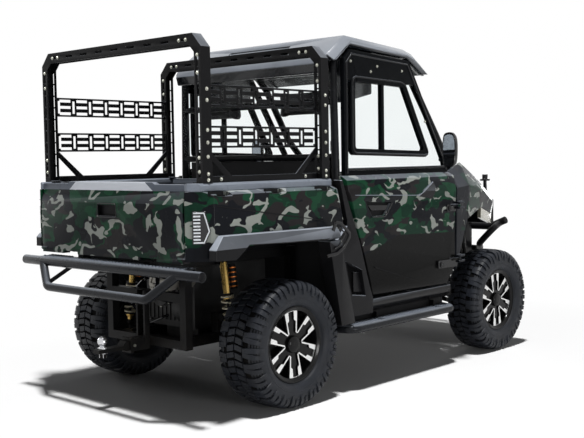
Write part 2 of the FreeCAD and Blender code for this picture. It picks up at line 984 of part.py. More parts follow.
far_line = [
    (roll_top_x + rim_bevel / 2, roll_top - rim_bevel),
    (roof_peak_x + rim_bevel / 4, roof_peak - rim_bevel),
    (roof_front_x - rim_bevel / 4, roof_front - rim_bevel),
    (visor_bend_x - rim_bevel / 2, visor_bend - rim_bevel),
    (visor_tip_x - rim_bevel / 2, visor_tip - visor_edge / 4),
] + rim_low_line
side_rim = loft([
    [V(x, roof_half, z) for x, z in near_line],
    [V(x, roof_rim_half, z) for x, z in far_line],
])
pod = slab_y([
    (pod_rear_x, pod_low), (pod_front_x, pod_low + pod_rise), (pod_front_x, pod_high), (pod_rear_x, pod_high),
], pod_inner_y, pod_outer_y)
rake = V(roof_peak_x - roll_top_x, 0, roof_peak - roll_top)
rake_out = V(-rake.z, 0, rake.x).normalize()
recess_low = V(roll_top_x, 0, roll_top) + rake * recess_low_share
recess_high = V(roll_top_x, 0, roll_top) + rake * recess_high_share
recess = slab_y([(point.x, point.z) for point in (
    recess_low + rake_out * overrun, recess_high + rake_out * overrun,
    recess_high - rake_out * recess_depth, recess_low - rake_out * recess_depth)], -recess_half, recess_half)
roof = cut(fuse([crown, side_rim, mirrored(side_rim), pod, mirrored(pod)]), [recess])
save("roof", [roof])

# Doors: the whole thickness of each leaf, cut from one outline and one cross-section.
door_lower_outline = [
    (door_belt_rear_x, door_belt), (door_rear_waist_x, door_rear_waist), (door_rear_low_x, door_rear_low),
    (door_bottom_rear_x, door_bottom), (door_bottom_front_x, door_bottom_front),
    (door_front_x, door_front_low), (door_front_x, door_belt),
]
door_section = [
    (door_lower_inner_y, door_bottom_front), (door_bottom_y - fender_skin / 2, door_bottom_front),
    (door_bottom_y, door_lip), (door_waist_y, door_waist), (door_crease_y, door_crease),
    (door_shoulder_y, door_shoulder), (door_belt_y, door_belt), (door_lower_inner_y, door_belt),
]
door_blank = slab_y(door_lower_outline, door_lower_inner_y - overrun, door_crease_y + overrun)
door_lower = door_blank.common(slab_x(door_section, door_rear_x - overrun, door_front_x + overrun))
handle_outline = [
    (handle_rear_x, handle_top), (handle_front_x, handle_top - handle_nose / 4),
    (handle_front_x - handle_nose / 2, handle_low + handle_nose / 2),
    (handle_front_x - handle_nose, handle_low), (handle_rear_x + handle_nose, handle_low),
]
handle_pocket = slab_y(handle_outline, door_crease_y - handle_depth, door_crease_y + overrun)
door_lower = cut(door_lower, [handle_pocket])


def hinge_knuckle(z, share_low, share_high, toward):
    """A barrel section on the hinge line with its leaf, toward -1 for the door, 1 for the body."""
    low = z - hinge_length / 2 + hinge_length * share_low
    high = z - hinge_length / 2 + hinge_length * share_high
    barrel = Part.makeCylinder(hinge_radius, high - low, V(hinge_x, hinge_y, low))
    near, far = sorted((hinge_x, hinge_x + toward * (hinge_leaf_length + hinge_radius)))
    leaf = box(near, far, hinge_y - hinge_radius - hinge_leaf_thickness, hinge_y - hinge_leaf_thickness / 2,
               low, high)
    clear = hinge_x + toward * (door_front_x - hinge_x) * -1
    root_near, root_far = sorted((clear, far if toward > 0 else near))
    root = box(root_near, root_far, door_waist_y - hinge_leaf_thickness, hinge_y - hinge_radius, low, high)
    return fuse([barrel, leaf, root])


hinge_door_shares = (0.34, 0.66)
hinge_body_shares = ((0.0, 0.32), (0.68, 1.0))
door_leaves = [hinge_knuckle(z, hinge_door_shares[0], hinge_door_shares[1], -1) for z in (hinge_upper, hinge_lower)]
body_leaves = [
    hinge_knuckle(z, shares[0], shares[1], 1) for z in (hinge_upper, hinge_lower) for shares in hinge_body_shares
]
door_lower = fuse([door_lower] + door_leaves)

upper_outline = [
    (door_rear_x, door_belt + seat_gap), (door_rear_x, door_top_rear), (door_top_knee_x, door_top_knee),
    (door_top_front_x, door_top_front), (door_head_x, door_head), (door_a_base_x, door_a_base),
    (door_corner_x, door_corner), (door_front_x, door_belt + seat_gap),
]
insert_outline = [
    (insert_rear_x, insert_low_rear), (insert_rear_x, insert_top_rear), (insert_front_x, insert_top_front),
    (insert_low_front_x, insert_low_front),
]
glass_outline = inset(upper_outline, door_rim_width)
frame_plate = slab_y(upper_outline, door_inner_y, door_frame_y)
light_zone = slab_y(glass_outline, door_inner_y - overrun, door_frame_y + overrun)
below_header = box(door_rear_x, door_front_x + overrun, door_inner_y - overrun, door_frame_y + overrun,
                   door_belt, insert_top_front - insert_width / 2)
around = cut(light_zone.common(below_header), [
    rounded_slab(insert_outline, insert_round, door_inner_y - overrun, door_frame_y + overrun)])
pane_hole = rounded_slab(inset(insert_outline, insert_width), insert_round - insert_width / 2,
                         door_inner_y - overrun, door_frame_y + overrun)
bar = box(insert_bar_x, insert_bar_x + insert_bar_width, door_inner_y, door_frame_y, insert_low_front - insert_width,
          insert_top_rear)
pane_tools = cut(pane_hole, [bar])
door_frame = cut(frame_plate, [around, pane_tools])
mid_y = (door_inner_y + door_frame_y) / 2
glass_layer = box(door_rear_x - overrun, door_front_x + overrun, mid_y - glass_thickness / 2,
                  mid_y + glass_thickness / 2, door_belt, door_top_knee)
door_glass = Part.makeCompound([around.common(glass_layer)] + pane_tools.common(glass_layer).Solids)
mirror_head = box(mirror_x - mirror_depth / 2, mirror_x + mirror_depth / 2, mirror_inner_y, mirror_outer_y,
                  mirror_low, mirror_high)
mirror_head = mirror_head.makeFillet(mirror_round, [
    edge for edge in mirror_head.Edges
    if edge.BoundBox.XLength < mirror_round / 10 and edge.BoundBox.XMin > mirror_x])
mirror_arm = pipe([
    V(mirror_foot_x, door_frame_y - mirror_arm_radius, mirror_foot_height),
    V(mirror_foot_x, mirror_inner_y - mirror_depth, mirror_foot_height),
    V(mirror_x, mirror_inner_y + mirror_depth, (mirror_low + mirror_high) / 2),
], mirror_arm_radius, mirror_depth)
door_frame = fuse([door_frame, mirror_arm, mirror_head])
for side in ("left", "right"):
    for node, piece in (("door", door_lower), ("door_frame", door_frame), ("door_glass", door_glass)):
        save(node + "_" + side, [piece if side == "left" else mirrored(piece)])

# Front body: lofted fenders, hood, nose with grille, and lamps.
fender_sections = []
for index, x in enumerate(fender_stations):
    skin = fender_skin
    fender_sections.append([
        V(x, fender_top_y[index], fender_top[index]),
        V(x, fender_shoulder_y[index], fender_shoulder[index]),
        V(x, fender_low_y[index], fender_low[index]),
        V(x, fender_low_y[index] - skin, fender_low[index]),
        V(x, fender_shoulder_y[index] - skin, fender_shoulder[index] - skin / 3),
        V(x, fender_top_y[index] - skin, fender_top[index] - skin / 3),
    ])
fender = fuse([loft(fender_sections)] + body_leaves)
save("front_fenders", [fender, mirrored(fender)])


def along(table, x):
    """A station table read at any place between the stations."""
    for index in range(1, len(fender_stations)):
        if x <= fender_stations[index] or index == len(fender_stations) - 1:
            low = fender_stations[index - 1]
            share = (x - low) / (fender_stations[index] - low)
            return table[index - 1] + (table[index] - table[index - 1]) * share
    return table[-1]


hood_sections = []
for x in fender_stations[1:]:
    edge_y = along(fender_top_y, x) - fender_skin - seam_gap
    edge = along(fender_top, x) - fender_skin / 3
    centre = along(hood_centre, x)
    flank = edge_y * hood_flank_share
    hood_sections.append([
        V(x, -edge_y, edge), V(x, -flank, centre - hood_flank_drop), V(x, 0, centre),
        V(x, flank, centre - hood_flank_drop), V(x, edge_y, edge),
        V(x, edge_y, edge - hood_skin), V(x, flank, centre - hood_flank_drop - hood_skin),
        V(x, 0, centre - hood_skin), V(x, -flank, centre - hood_flank_drop - hood_skin),
        V(x, -edge_y, edge - hood_skin),
    ])
hood = loft(hood_sections)
save("hood", [hood])

lamp_sections = []
for index, x in enumerate(fender_stations[2:]):
    low_y = along(fender_low_y, x)
    high = along(fender_low, x) - seam_gap / 4
    lamp_sections.append([
        V(x, low_y, high), V(x, low_y, lamp_low[index]),
        V(x, low_y - lamp_skin, lamp_low[index]), V(x, low_y - lamp_skin, high),
    ])
corner_lamp = max(cut(loft(lamp_sections), [fender]).Solids, key=lambda piece: piece.Volume)
stalk = rod(V(stalk_x, stalk_y, stalk_base), V(stalk_x, stalk_y, stalk_head), stalk_radius)
seat_tools = [hood.copy(), fender.copy()]
for tool in seat_tools:
    tool.translate(V(0, 0, seam_gap / 4))
stalk = max(stalk.cut(seat_tools + [fender]).Solids, key=lambda piece: piece.BoundBox.ZMax)
plate = rod(V(stalk_x, stalk_y, stalk_head), V(stalk_x, stalk_y, stalk_head + stalk_radius), stalk_plate)
cap = rod(V(stalk_x, stalk_y, stalk_head + stalk_radius), V(stalk_x, stalk_y, stalk_top), stalk_cap)
save("front_lamps", [corner_lamp, mirrored(corner_lamp), fuse([stalk, plate, cap]),
                     mirrored(fuse([stalk, plate, cap]))])

nose_wide = along(fender_low_y, fender_stations[-1])
nose_back_x = front_post_x + half_post + seat_gap
nose_top_x = fender_stations[-1] + seat_gap
nose_upper = slab_z([
    (nose_top_x, -nose_wide), (nose_top_x + fender_skin, -nose_wide), (nose_front_x, -nose_low_half),
    (nose_front_x, nose_low_half), (nose_top_x + fender_skin, nose_wide), (nose_top_x, nose_wide),
], lamp_low[-1], fender_top[-1] - seam_gap)
nose_lower = slab_z([
    (nose_back_x, -nose_half), (nose_front_x - grille_depth, -nose_half), (nose_front_x, -nose_low_half),
    (nose_front_x, nose_low_half), (nose_front_x - grille_depth, nose_half), (nose_back_x, nose_half),
], nose_low, lamp_low[-1])
nose_slots = []
grille_pitch = (grille_high - grille_low) / grille_bars
for index in range(grille_bars):
    low = grille_low + index * grille_pitch
    nose_slots.append(box(nose_front_x - grille_depth, nose_front_x + overrun, -grille_half, grille_half,
                          low + grille_pitch * grille_bar_share, low + grille_pitch))
save("nose", [cut(fuse([nose_upper, nose_lower]), nose_slots)])

# Body sides behind and below the doors, with the legs ahead of the rear wheels.
panel_front = [
    (door_belt_rear_x - panel_gap, side_top), (door_rear_waist_x - panel_gap, door_rear_waist),
    (door_rear_low_x - panel_gap, door_rear_low), (door_bottom_rear_x - panel_gap, door_bottom - panel_gap),
]
leg_knee_x = side_step_x + seam_gap
panel_outline = [
    (side_rear_top_x, side_top), (side_rear_mid_x, side_rear_mid), (side_rear_mid_x, side_rear_low),
    (side_step_x, side_step), (leg_knee_x, leg_knee), (leg_front_low_x, sill_low),
    (door_bottom_rear_x - panel_gap, sill_low),
] + list(reversed(panel_front))
leg_outline = [
    (leg_top_x, leg_top), (side_step_x, side_step), (leg_knee_x, leg_knee), (leg_front_low_x, leg_low),
    (leg_low_x, leg_low),
]
panel = slab_y(panel_outline, panel_inner_y, panel_outer_y)
intake = slab_y([
    (pocket_rear_x, pocket_top), (pocket_front_x, pocket_front_top), (pocket_low_front_x, pocket_low_front),
    (pocket_low_rear_x, pocket_low),
], panel_outer_y - pocket_depth, panel_outer_y + overrun)
leg = slab_y(leg_outline, leg_inner_y, leg_outer_y)
sill_section = [
    (outrigger_y + seat_gap, sill_low), (sill_outer_y - sill_tuck, sill_low), (sill_outer_y, sill_low + sill_tuck),
    (sill_outer_y, door_bottom_front - panel_gap), (outrigger_y + seat_gap, door_bottom_front - panel_gap),
]
sill = slab_x(sill_section, leg_front_low_x - seam_gap, sill_front_x)
side_panel = fuse([cut(panel, [intake]), leg, sill])
save("side_panels", [side_panel, mirrored(side_panel)])

# Side steps: a bent tube with a tread, hung below the side tubes.
step_tube = pipe([
    V(step_rear_x, step_root_y, step_height), V(step_rear_x + step_splay, step_y, step_height),
    V(step_front_x - step_splay, step_y, step_height), V(step_front_x, step_root_y, step_height),
], step_radius, step_bend)
step_parts = [step_tube]
for x, toward in ((step_rear_x, 1), (step_front_x, -1)):
    near, far = sorted((x, x + toward * side_tube_size))
    step_parts.append(box(near, far, step_root_y - side_tube_size / 2, step_root_y + step_radius / 2,
                          step_height - step_radius / 2, outrigger_low - seat_gap))
step_parts.append(box(step_rear_x + side_tube_size, step_front_x - side_tube_size, step_tread_inner_y, step_y,
                      step_height + step_radius / 2, step_height + step_radius / 2 + step_tread_thickness))
step_parts.append(box(step_rear_x + side_tube_size / 2, step_front_x - side_tube_size / 2,
                      step_tread_inner_y - side_tube_size / 2, step_tread_inner_y + side_tube_size / 4,
                      step_height, step_height + step_radius / 2 + step_tread_thickness))
side_step = fuse(step_parts)
save("side_steps", [side_step, mirrored(side_step)])

# Load bed: floor on runners, ribbed front wall, sides as thick as they are, caps, flares and lamps.
floor_low = bed_floor_top - bed_floor_thickness
carrier_seat = carrier_high + seat_gap
bed_parts = [
    box(bed_floor_rear_x, bed_front_x - bed_wall, -bed_inner_y, bed_inner_y, floor_low, bed_floor_top),
    box(bed_front_x - bed_wall * 2, bed_front_x, -bed_inner_y, bed_inner_y, floor_low, bed_cap_low),
]
for sign in (1, -1):
    low, high = sorted((sign * (post_y - bed_rib_width / 2), sign * (post_y + bed_rib_width / 2)))
    bed_parts.append(box(bed_runner_rear_x, bed_front_x, low, high, carrier_seat, floor_low))
    low, high = sorted((sign * (bed_lug_y - bed_lug_thickness / 2), sign * (bed_lug_y + bed_lug_thickness / 2)))
    lug = slab_y([
        (bed_pivot_x, bed_pivot_height - bed_pivot_radius - bed_lug_wall),
        (bed_floor_rear_x + bed_rib_width * 2, floor_low), (bed_floor_rear_x, floor_low),
        (bed_pivot_x - bed_lug_wall, bed_pivot_height),
    ], low, high)
    ring = rod(V(bed_pivot_x, low, bed_pivot_height), V(bed_pivot_x, high, bed_pivot_height),
               bed_pivot_radius + bed_lug_wall)
    bore = rod(V(bed_pivot_x, low - overrun, bed_pivot_height), V(bed_pivot_x, high + overrun, bed_pivot_height),
               bed_pivot_radius + seat_gap)
    bed_parts.append(cut(fuse([lug, ring]), [bore]))
rib_pitch = bed_inner_y * 2 / (bed_rib_count + 1)
for index in range(bed_rib_count):
    middle = -bed_inner_y + rib_pitch * (index + 1)
    bed_parts.append(slab_y([
        (bed_front_x - bed_wall * 2, bed_cap_low), (bed_front_x - bed_wall * 2, bed_floor_top),
        (bed_front_x - bed_wall * 2 - bed_rib_depth, bed_floor_top),
        (bed_front_x - bed_wall * 2 - bed_rib_depth / 2, bed_cap_low - bed_rib_depth),
    ], middle - bed_rib_width / 2, middle + bed_rib_width / 2))
save("bed_floor", [fuse(bed_parts)])

side_outline = [
    (bed_side_rear_x, bed_tail_low), (bed_side_rear_x, bed_cap_low), (bed_front_top_x, bed_cap_low),
    (bed_front_knee_x, bed_front_knee), (bed_front_knee_x, bed_front_low),
    (side_step_x - panel_gap, bed_low), (bed_arch_x, bed_low), (bed_tail_x, bed_tail_low),
]
side_section = [
    (bed_inner_y + seat_gap, bed_tail_low), (bed_low_y, bed_tail_low), (bed_side_y, bed_low + flare_bevel),
    (bed_side_y, bed_side_shoulder), (bed_cap_y - seam_gap, bed_cap_low), (bed_inner_y + seat_gap, bed_cap_low),
]
bed_side = slab_y(side_outline, bed_inner_y - overrun, bed_side_y + overrun)
bed_side = bed_side.common(slab_x(side_section, bed_rear_x - overrun, bed_front_knee_x + overrun))
corner_cut = slab_z([
    (bed_rear_x - overrun, gate_half + panel_gap - overrun), (bed_rear_x, gate_half + panel_gap),
    (bed_corner_x, bed_side_y), (bed_corner_x, bed_side_y + overrun), (bed_rear_x - overrun, bed_side_y + overrun),
], bed_tail_low - overrun, bed_top + overrun)
tie_slots = []
for x in tie_slot_x:
    tie_slots.append(box(x, x + tie_slot_length, bed_cap_y - tie_slot_depth, bed_side_y + overrun,
                         bed_cap_low - tie_slot_height, bed_cap_low - seam_gap))
bed_side = cut(bed_side, [corner_cut] + tie_slots)
save("bed_sides", [bed_side, mirrored(bed_side)])

cap_section = [
    (bed_cap_inner_y, bed_cap_low + seat_gap), (bed_cap_y, bed_cap_low + seat_gap),
    (bed_cap_y, bed_top - bed_cap_round), (bed_cap_y - bed_cap_round, bed_top),
    (bed_cap_inner_y + bed_cap_round, bed_top), (bed_cap_inner_y, bed_top - bed_cap_round),
]
side_cap = slab_x(cap_section, bed_cap_rear_x, bed_front_top_x)
cap_corner = slab_z([
    (bed_cap_rear_x - overrun, bed_inner_y - overrun), (bed_cap_rear_x + bed_cap_y - bed_cap_inner_y, bed_cap_y + overrun),
    (bed_cap_rear_x - overrun, bed_cap_y + overrun),
], bed_cap_low, bed_top + overrun)
side_cap = cut(side_cap, [cap_corner])
front_cap = box(bed_front_x - bed_wall * 2 - bed_cap_round, bed_front_x, -bed_cap_inner_y - bed_cap_round,
                bed_cap_inner_y + bed_cap_round, bed_cap_low + seat_gap, bed_top - bed_cap_round / 2)
save("bed_caps", [fuse([side_cap, mirrored(side_cap), front_cap])])

flare = slab_y([
    (flare_rear_x + flare_bevel * 5, flare_top), (flare_front_x - flare_bevel * 2, flare_top - flare_fall),
    (flare_front_x, flare_tip), (flare_front_x - seam_gap, flare_low), (flare_arch_front_x, flare_low - seam_gap),
    (flare_arch_rear_x, flare_low + flare_bevel), (flare_tail_front_x, flare_tail_low - seam_gap),
    (flare_rear_x, flare_tail_low), (flare_rear_x, flare_tail_top),
], flare_inner_y, flare_outer_y)
flare_shear = slab_x([
    (flare_outer_y - flare_slope, flare_top + seam_gap), (flare_outer_y + overrun, flare_top + seam_gap),
    (flare_outer_y + overrun, flare_tail_top), (flare_outer_y, flare_tail_top),
], flare_rear_x - overrun, flare_front_x + overrun)
flare = cut(flare, [flare_shear])
save("rear_flares", [flare, mirrored(flare)])

corner_run = math.hypot(bed_corner_x - bed_rear_x, bed_side_y - gate_half - panel_gap)
corner_angle = math.degrees(math.atan2(bed_side_y - gate_half - panel_gap, bed_corner_x - bed_rear_x))
tail_lamp = box((corner_run - tail_lamp_width) / 2 + tail_lamp_inset, (corner_run + tail_lamp_width) / 2 + tail_lamp_inset,
                seat_gap, tail_lamp_thickness, tail_lamp_low, tail_lamp_low + tail_lamp_height)
tail_lamp = tail_lamp.makeChamfer(tail_lamp_thickness / 3, [
    edge for edge in tail_lamp.Edges if edge.BoundBox.YMin > tail_lamp_thickness / 2])
tail_lamp.rotate(V(0, 0, 0), V(0, 0, 1), corner_angle)
tail_lamp.translate(V(bed_rear_x, gate_half + panel_gap, 0))
save("tail_lamps", [tail_lamp, mirrored(tail_lamp)])

# Tailgate: one full-thickness leaf with a leaning top, a raised cap centre, a grip and pivot clearances.
gate_inner_x = bed_rear_x + gate_thickness
gate_profile = [
    (bed_rear_x, gate_low), (bed_rear_x, gate_shoulder), (bed_rear_x + gate_lean, bed_cap_low),
    (bed_rear_x + gate_lean, bed_top - seam_gap), (gate_inner_x + gate_lean / 2, bed_top - seam_gap),
    (gate_inner_x + gate_lean / 2, bed_cap_low), (gate_inner_x, gate_shoulder), (gate_inner_x, gate_low),
]
gate = slab_y(gate_profile, -gate_half, gate_half)
crest = slab_x([
    (-gate_crest_half - gate_lean, bed_top - seam_gap), (-gate_crest_half, bed_top + gate_crest),
    (gate_crest_half, bed_top + gate_crest), (gate_crest_half + gate_lean, bed_top - seam_gap),
], bed_rear_x + gate_lean, gate_inner_x + gate_lean / 2)
gate_cuts = [box(bed_rear_x - overrun, bed_rear_x + gate_grip_depth, -gate_grip_half, gate_grip_half, gate_grip_low,
                 gate_grip_high)]
for sign in (1, -1):
    low, high = sorted((sign * (post_y - bed_rib_width), sign * (bed_lug_y + bed_rib_width)))
    gate_cuts.append(box(bed_rear_x + gate_skin, gate_inner_x + overrun, low, high, gate_low - overrun,
                         gate_pocket_high))
    gate_cuts.append(box(bed_rear_x - overrun, gate_inner_x + overrun, low, high, gate_low - overrun,
                         gate_notch_high))
gate = cut(fuse([gate, crest]), gate_cuts)
pins = [rod(V(gate_hinge_x, sign * (gate_half - gate_thickness), gate_hinge_height),
            V(gate_hinge_x, sign * bed_inner_y, gate_hinge_height), gate_pin_radius) for sign in (1, -1)]
save("tailgate", [fuse([gate] + pins)])

# Bed rack: two hoops of slotted channel with feet.
half_ring = [
    (rack_outer_y, bed_top + seat_gap), (rack_outer_y, rack_shoulder), (rack_top_y, rack_top),
]
ring_outline = half_ring + [(-y, z) for y, z in reversed(half_ring)]
inner_half = [
    (rack_outer_y - rack_width, bed_top + seat_gap), (rack_outer_y - rack_width, rack_shoulder - rack_inner_drop),
    (rack_top_y - rack_inner_drop, rack_top - rack_beam),
]
ring_inner = inner_half + [(-y, z) for y, z in reversed(inner_half)]
skin_half = [
    (rack_outer_y - rack_plate, bed_top + seat_gap), (rack_outer_y - rack_plate, rack_shoulder - rack_plate / 2),
    (rack_top_y - rack_plate / 2, rack_top - rack_plate),
]
skin_inner = skin_half + [(-y, z) for y, z in reversed(skin_half)]


def open_frame(outer, inner, x_low, x_high):
    """A portal between an outer and an inner outline that are both open at the foot."""
    hole = [(inner[0][0], inner[0][1] - overrun)] + inner[1:-1] + [(inner[-1][0], inner[-1][1] - overrun)]
    return slab_x(outer, x_low, x_high).cut(slab_x(hole, x_low - overrun, x_high + overrun))


hoops = []
for x in (rack_rear_x, rack_front_x):
    far = x + rack_depth
    skin = open_frame(ring_outline, skin_inner, x, far)
    near_flange = open_frame(ring_outline, ring_inner, x, x + rack_plate)
    far_flange = open_frame(ring_outline, ring_inner, far - rack_plate, far)
    hoop = fuse([skin, near_flange, far_flange])
    slots = []
    run = rack_shoulder - bed_top - rack_slot_length
    for index in range(rack_slot_count):
        low = bed_top + rack_slot_length / 2 + run * index / rack_slot_count
        for sign in (1, -1):
            middle = sign * (rack_outer_y - rack_width / 2)
            slots.append(box(x - overrun, far + overrun, middle - rack_slot_width / 2, middle + rack_slot_width / 2,
                             low, low + rack_slot_length))
    beam_run = rack_top_y * 2
    for index in range(rack_beam_slots):
        middle = -rack_top_y + beam_run * (index + 0.5) / rack_beam_slots
        slots.append(box(x - overrun, far + overrun, middle - rack_slot_length / 2, middle + rack_slot_length / 2,
                         rack_top - rack_beam / 2 - rack_slot_width / 2, rack_top - rack_beam / 2 + rack_slot_width / 2))
    hoop = cut(hoop, slots)
    feet = []
    for sign in (1, -1):
        low, high = sorted((sign * (rack_outer_y - rack_width - rack_foot_height), sign * rack_outer_y))
        feet.append(box(x, far, low, high, bed_top + seat_gap, bed_top + seat_gap + rack_plate))
    hoops.append(fuse([hoop] + feet))
save("rack_hoops", hoops)

# Rack sides: slotted panels, base rails and corner braces between the hoops.
def slotted_panel(low, high):
    near = rack_rear_x + rack_depth + seat_gap
    far = rack_front_x - seat_gap
    plate = box(near, far, panel_y, panel_y + panel_thickness, low, high)
    pitch = (far - near) / panel_cells
    height = high - low
    slots = []
    for index in range(panel_cells):
        middle = near + pitch * (index + 0.5)
        half = pitch * panel_cell_share / 2
        for row in range(panel_rows):
            level = low + height * (row + 0.5) / panel_rows
            slots.append(box(middle - half, middle + half, panel_y - overrun, panel_y + overrun,
                             level - panel_bar_slot / 2, level + panel_bar_slot / 2))
    for index in range(panel_cells + 1):
        middle = near + pitch * index
        middle = min(max(middle, near + panel_tall_slot), far - panel_tall_slot)
        half = height * panel_tall_share / 2
        slots.append(box(middle - panel_tall_slot / 2, middle + panel_tall_slot / 2, panel_y - overrun,
                         panel_y + overrun, low + height / 2 - half, low + height / 2 + half))
    return cut(plate, slots)


rail_near = rack_rear_x + rack_depth + seat_gap
rail_far = rack_front_x - seat_gap
base_rail = box(rail_near, rail_far, panel_y, panel_y + base_rail_thickness, bed_top + seat_gap, base_rail_high)
braces = []
for start, toward in ((rail_near, 1), (rail_far, -1)):
    braces.append(slab_y([
        (start, gusset_top + gusset_width / 2), (start, gusset_top - gusset_width / 2),
        (start + toward * (gusset_reach - gusset_width), gusset_low - gusset_width / 2),
        (start + toward * (gusset_reach + gusset_width / 2), gusset_low - gusset_width / 2),
    ], panel_y, panel_y + base_rail_thickness))
rack_side = [fuse([base_rail] + braces), slotted_panel(panel_lower_low, panel_lower_high),
             slotted_panel(panel_upper_low, panel_upper_high)]
save("rack_panels", rack_side + [mirrored(piece) for piece in rack_side])

# Rear bumper: a straight tube, a lower hoop that stands further back, a tread and two struts.
top_tube = rod(V(bumper_x, -bumper_half, bumper_height), V(bumper_x, bumper_half, bumper_height), bumper_radius)
low_hoop = pipe([
    V(bumper_x, hoop_join_y, bumper_height), V(hoop_x, hoop_bend_y, hoop_height),
    V(hoop_x, -hoop_bend_y, hoop_height), V(bumper_x, -hoop_join_y, bumper_height),
], hoop_radius, hoop_bend)
tread_high = bumper_height + bumper_radius - seat_gap
tread = box(bumper_x, tread_front_x, -tread_half, tread_half, tread_high - tread_thickness, tread_high)
tread_skirt = box(tread_front_x - tread_thickness, tread_front_x, -tread_half, tread_half,
                  tread_high - tread_skirt_height, tread_high)
tread_gap = [
    box(carrier_rear - seat_gap, tread_front_x + overrun, sign * post_y - bed_rib_width, sign * post_y + bed_rib_width,
        tread_high - tread_skirt_height - overrun, tread_high + overrun) for sign in (1, -1)
]
struts = [
    box(bumper_x, carrier_rear - seat_gap, sign * strut_y - strut_width / 2, sign * strut_y + strut_width / 2,
        carrier_low, tread_high - tread_thickness) for sign in (1, -1)
]
bumper_deck = cut(fuse([tread, tread_skirt]), tread_gap)
save("rear_bumper", [fuse([top_tube, low_hoop, bumper_deck] + struts)])

# Hitch: a square receiver under the rear cross member, a drawbar and its ball.
receiver_end = rail_rear - seat_gap
receiver = box(receiver_rear_x, receiver_end, -receiver_size / 2, receiver_size / 2, receiver_low,
               receiver_low + receiver_size)
receiver = cut(receiver, [box(
    receiver_rear_x - overrun, receiver_end - receiver_wall, -receiver_size / 2 + receiver_wall,
    receiver_size / 2 - receiver_wall, receiver_low + receiver_wall, receiver_low + receiver_size - receiver_wall)])
collar = box(receiver_rear_x, receiver_rear_x + receiver_wall * 3, -receiver_size / 2 - receiver_wall,
             receiver_size / 2 + receiver_wall, receiver_low - receiver_wall, receiver_low + receiver_size + receiver_wall)
collar = cut(collar, [box(
    receiver_rear_x - overrun, receiver_end, -receiver_size / 2 + receiver_wall, receiver_size / 2 - receiver_wall,
    receiver_low + receiver_wall, receiver_low + receiver_size - receiver_wall)])
post_height = receiver_low + receiver_size - receiver_wall / 2
hitch_posts = []
for sign in (1, -1):
    low, high = sorted((sign * hitch_post_half, sign * (hitch_post_half - receiver_wall * 2)))
    hitch_posts.append(box(rail_rear - receiver_size / 2, receiver_end, low, high, receiver_low + receiver_size / 2,
                           rear_bar_low + rail_height))
hitch_web = box(rail_rear - receiver_size / 2, receiver_end, -hitch_post_half, hitch_post_half, post_height,
                post_height + receiver_wall)
save_hitch = [fuse([receiver, collar, hitch_web] + hitch_posts)]
fit = receiver_wall + seat_gap
bar_low = receiver_low + fit
bar_high = receiver_low + receiver_size - fit
drawbar = slab_y([
    (receiver_end - receiver_size, bar_low), (receiver_rear_x - drawbar_nose, bar_low),
    (receiver_rear_x - drawbar_nose * 2, ball_height - ball_radius - drawbar_plate),
    (drawbar_end_x, ball_height - ball_radius - drawbar_plate), (drawbar_end_x, ball_height - ball_radius),
    (receiver_rear_x - drawbar_nose * 2, ball_height - ball_radius), (receiver_rear_x - drawbar_nose, bar_high),
    (receiver_end - receiver_size, bar_high),
], -drawbar_size / 2, drawbar_size / 2)
ball = Part.makeSphere(ball_radius, V(ball_x, 0, ball_height + ball_neck))
neck = rod(V(ball_x, 0, ball_height - ball_radius), V(ball_x, 0, ball_height + ball_neck), ball_shank_radius)
nut = rod(V(ball_x, 0, ball_height - ball_radius - drawbar_plate - drawbar_nut),
          V(ball_x, 0, ball_height - ball_radius - drawbar_plate), ball_shank_radius * 1.6)
save("hitch", save_hitch + [fuse([drawbar, neck, ball, nut])])

# Front bumper: a wide tube with raised ends, a lower loop around the nose and two mounting plates.
front_top = pipe([
    V(front_wing_x, front_wing_y, front_wing_height), V(front_tube_x, front_drop_y, front_tube_height),
    V(front_tube_x, -front_drop_y, front_tube_height), V(front_wing_x, -front_wing_y, front_wing_height),
], front_tube_radius, hoop_bend)
front_low = pipe([
    V(front_wing_x, front_wing_y - front_tube_radius * 2, front_wing_height - front_tube_radius),
    V(front_loop_x, front_wing_y - seam_gap, front_loop_height),
    V(front_loop_x, front_hoop_y, front_loop_low),
    V(front_hoop_low_x, front_hoop_low_y, front_hoop_low),
    V(front_hoop_low_x, -front_hoop_low_y, front_hoop_low),
    V(front_loop_x, -front_hoop_y, front_loop_low),
    V(front_loop_x, -front_wing_y + seam_gap, front_loop_height),
    V(front_wing_x, -front_wing_y + front_tube_radius * 2, front_wing_height - front_tube_radius),
], hoop_radius, hoop_bend)
front_plates = []
for sign in (1, -1):
    low, high = sorted((sign * front_mount_y, sign * (front_mount_y + strut_thickness)))
    front_plates.append(slab_y([
        (nose_front_x + seat_gap, front_hoop_low), (front_hoop_low_x, front_hoop_low),
        (front_tube_x, front_tube_height), (front_tube_x - front_tube_radius, front_tube_height + front_tube_radius / 2),
        (nose_front_x + seat_gap, front_tube_height - front_tube_radius),
    ], low, high))
save("front_bumper", [fuse([front_top, front_low] + front_plates)])


# Suspension: double arms, uprights and half shafts.
def arm(x, inner_height, ball_y, ball_level, spread):
    """An A-shaped arm from two pivots on the frame to one ball joint."""
    tip = V(x, ball_y, ball_level)
    legs = [rod(V(x + spread * sign / 2, arm_inner_y, inner_height), tip, arm_radius) for sign in (1, -1)]
    pivot = rod(V(x - spread / 2 - arm_radius, arm_inner_y, inner_height),
                V(x + spread / 2 + arm_radius, arm_inner_y, inner_height), arm_radius + arm_wall)
    return fuse([pivot, Part.makeSphere(ball_joint_radius, tip)] + legs)


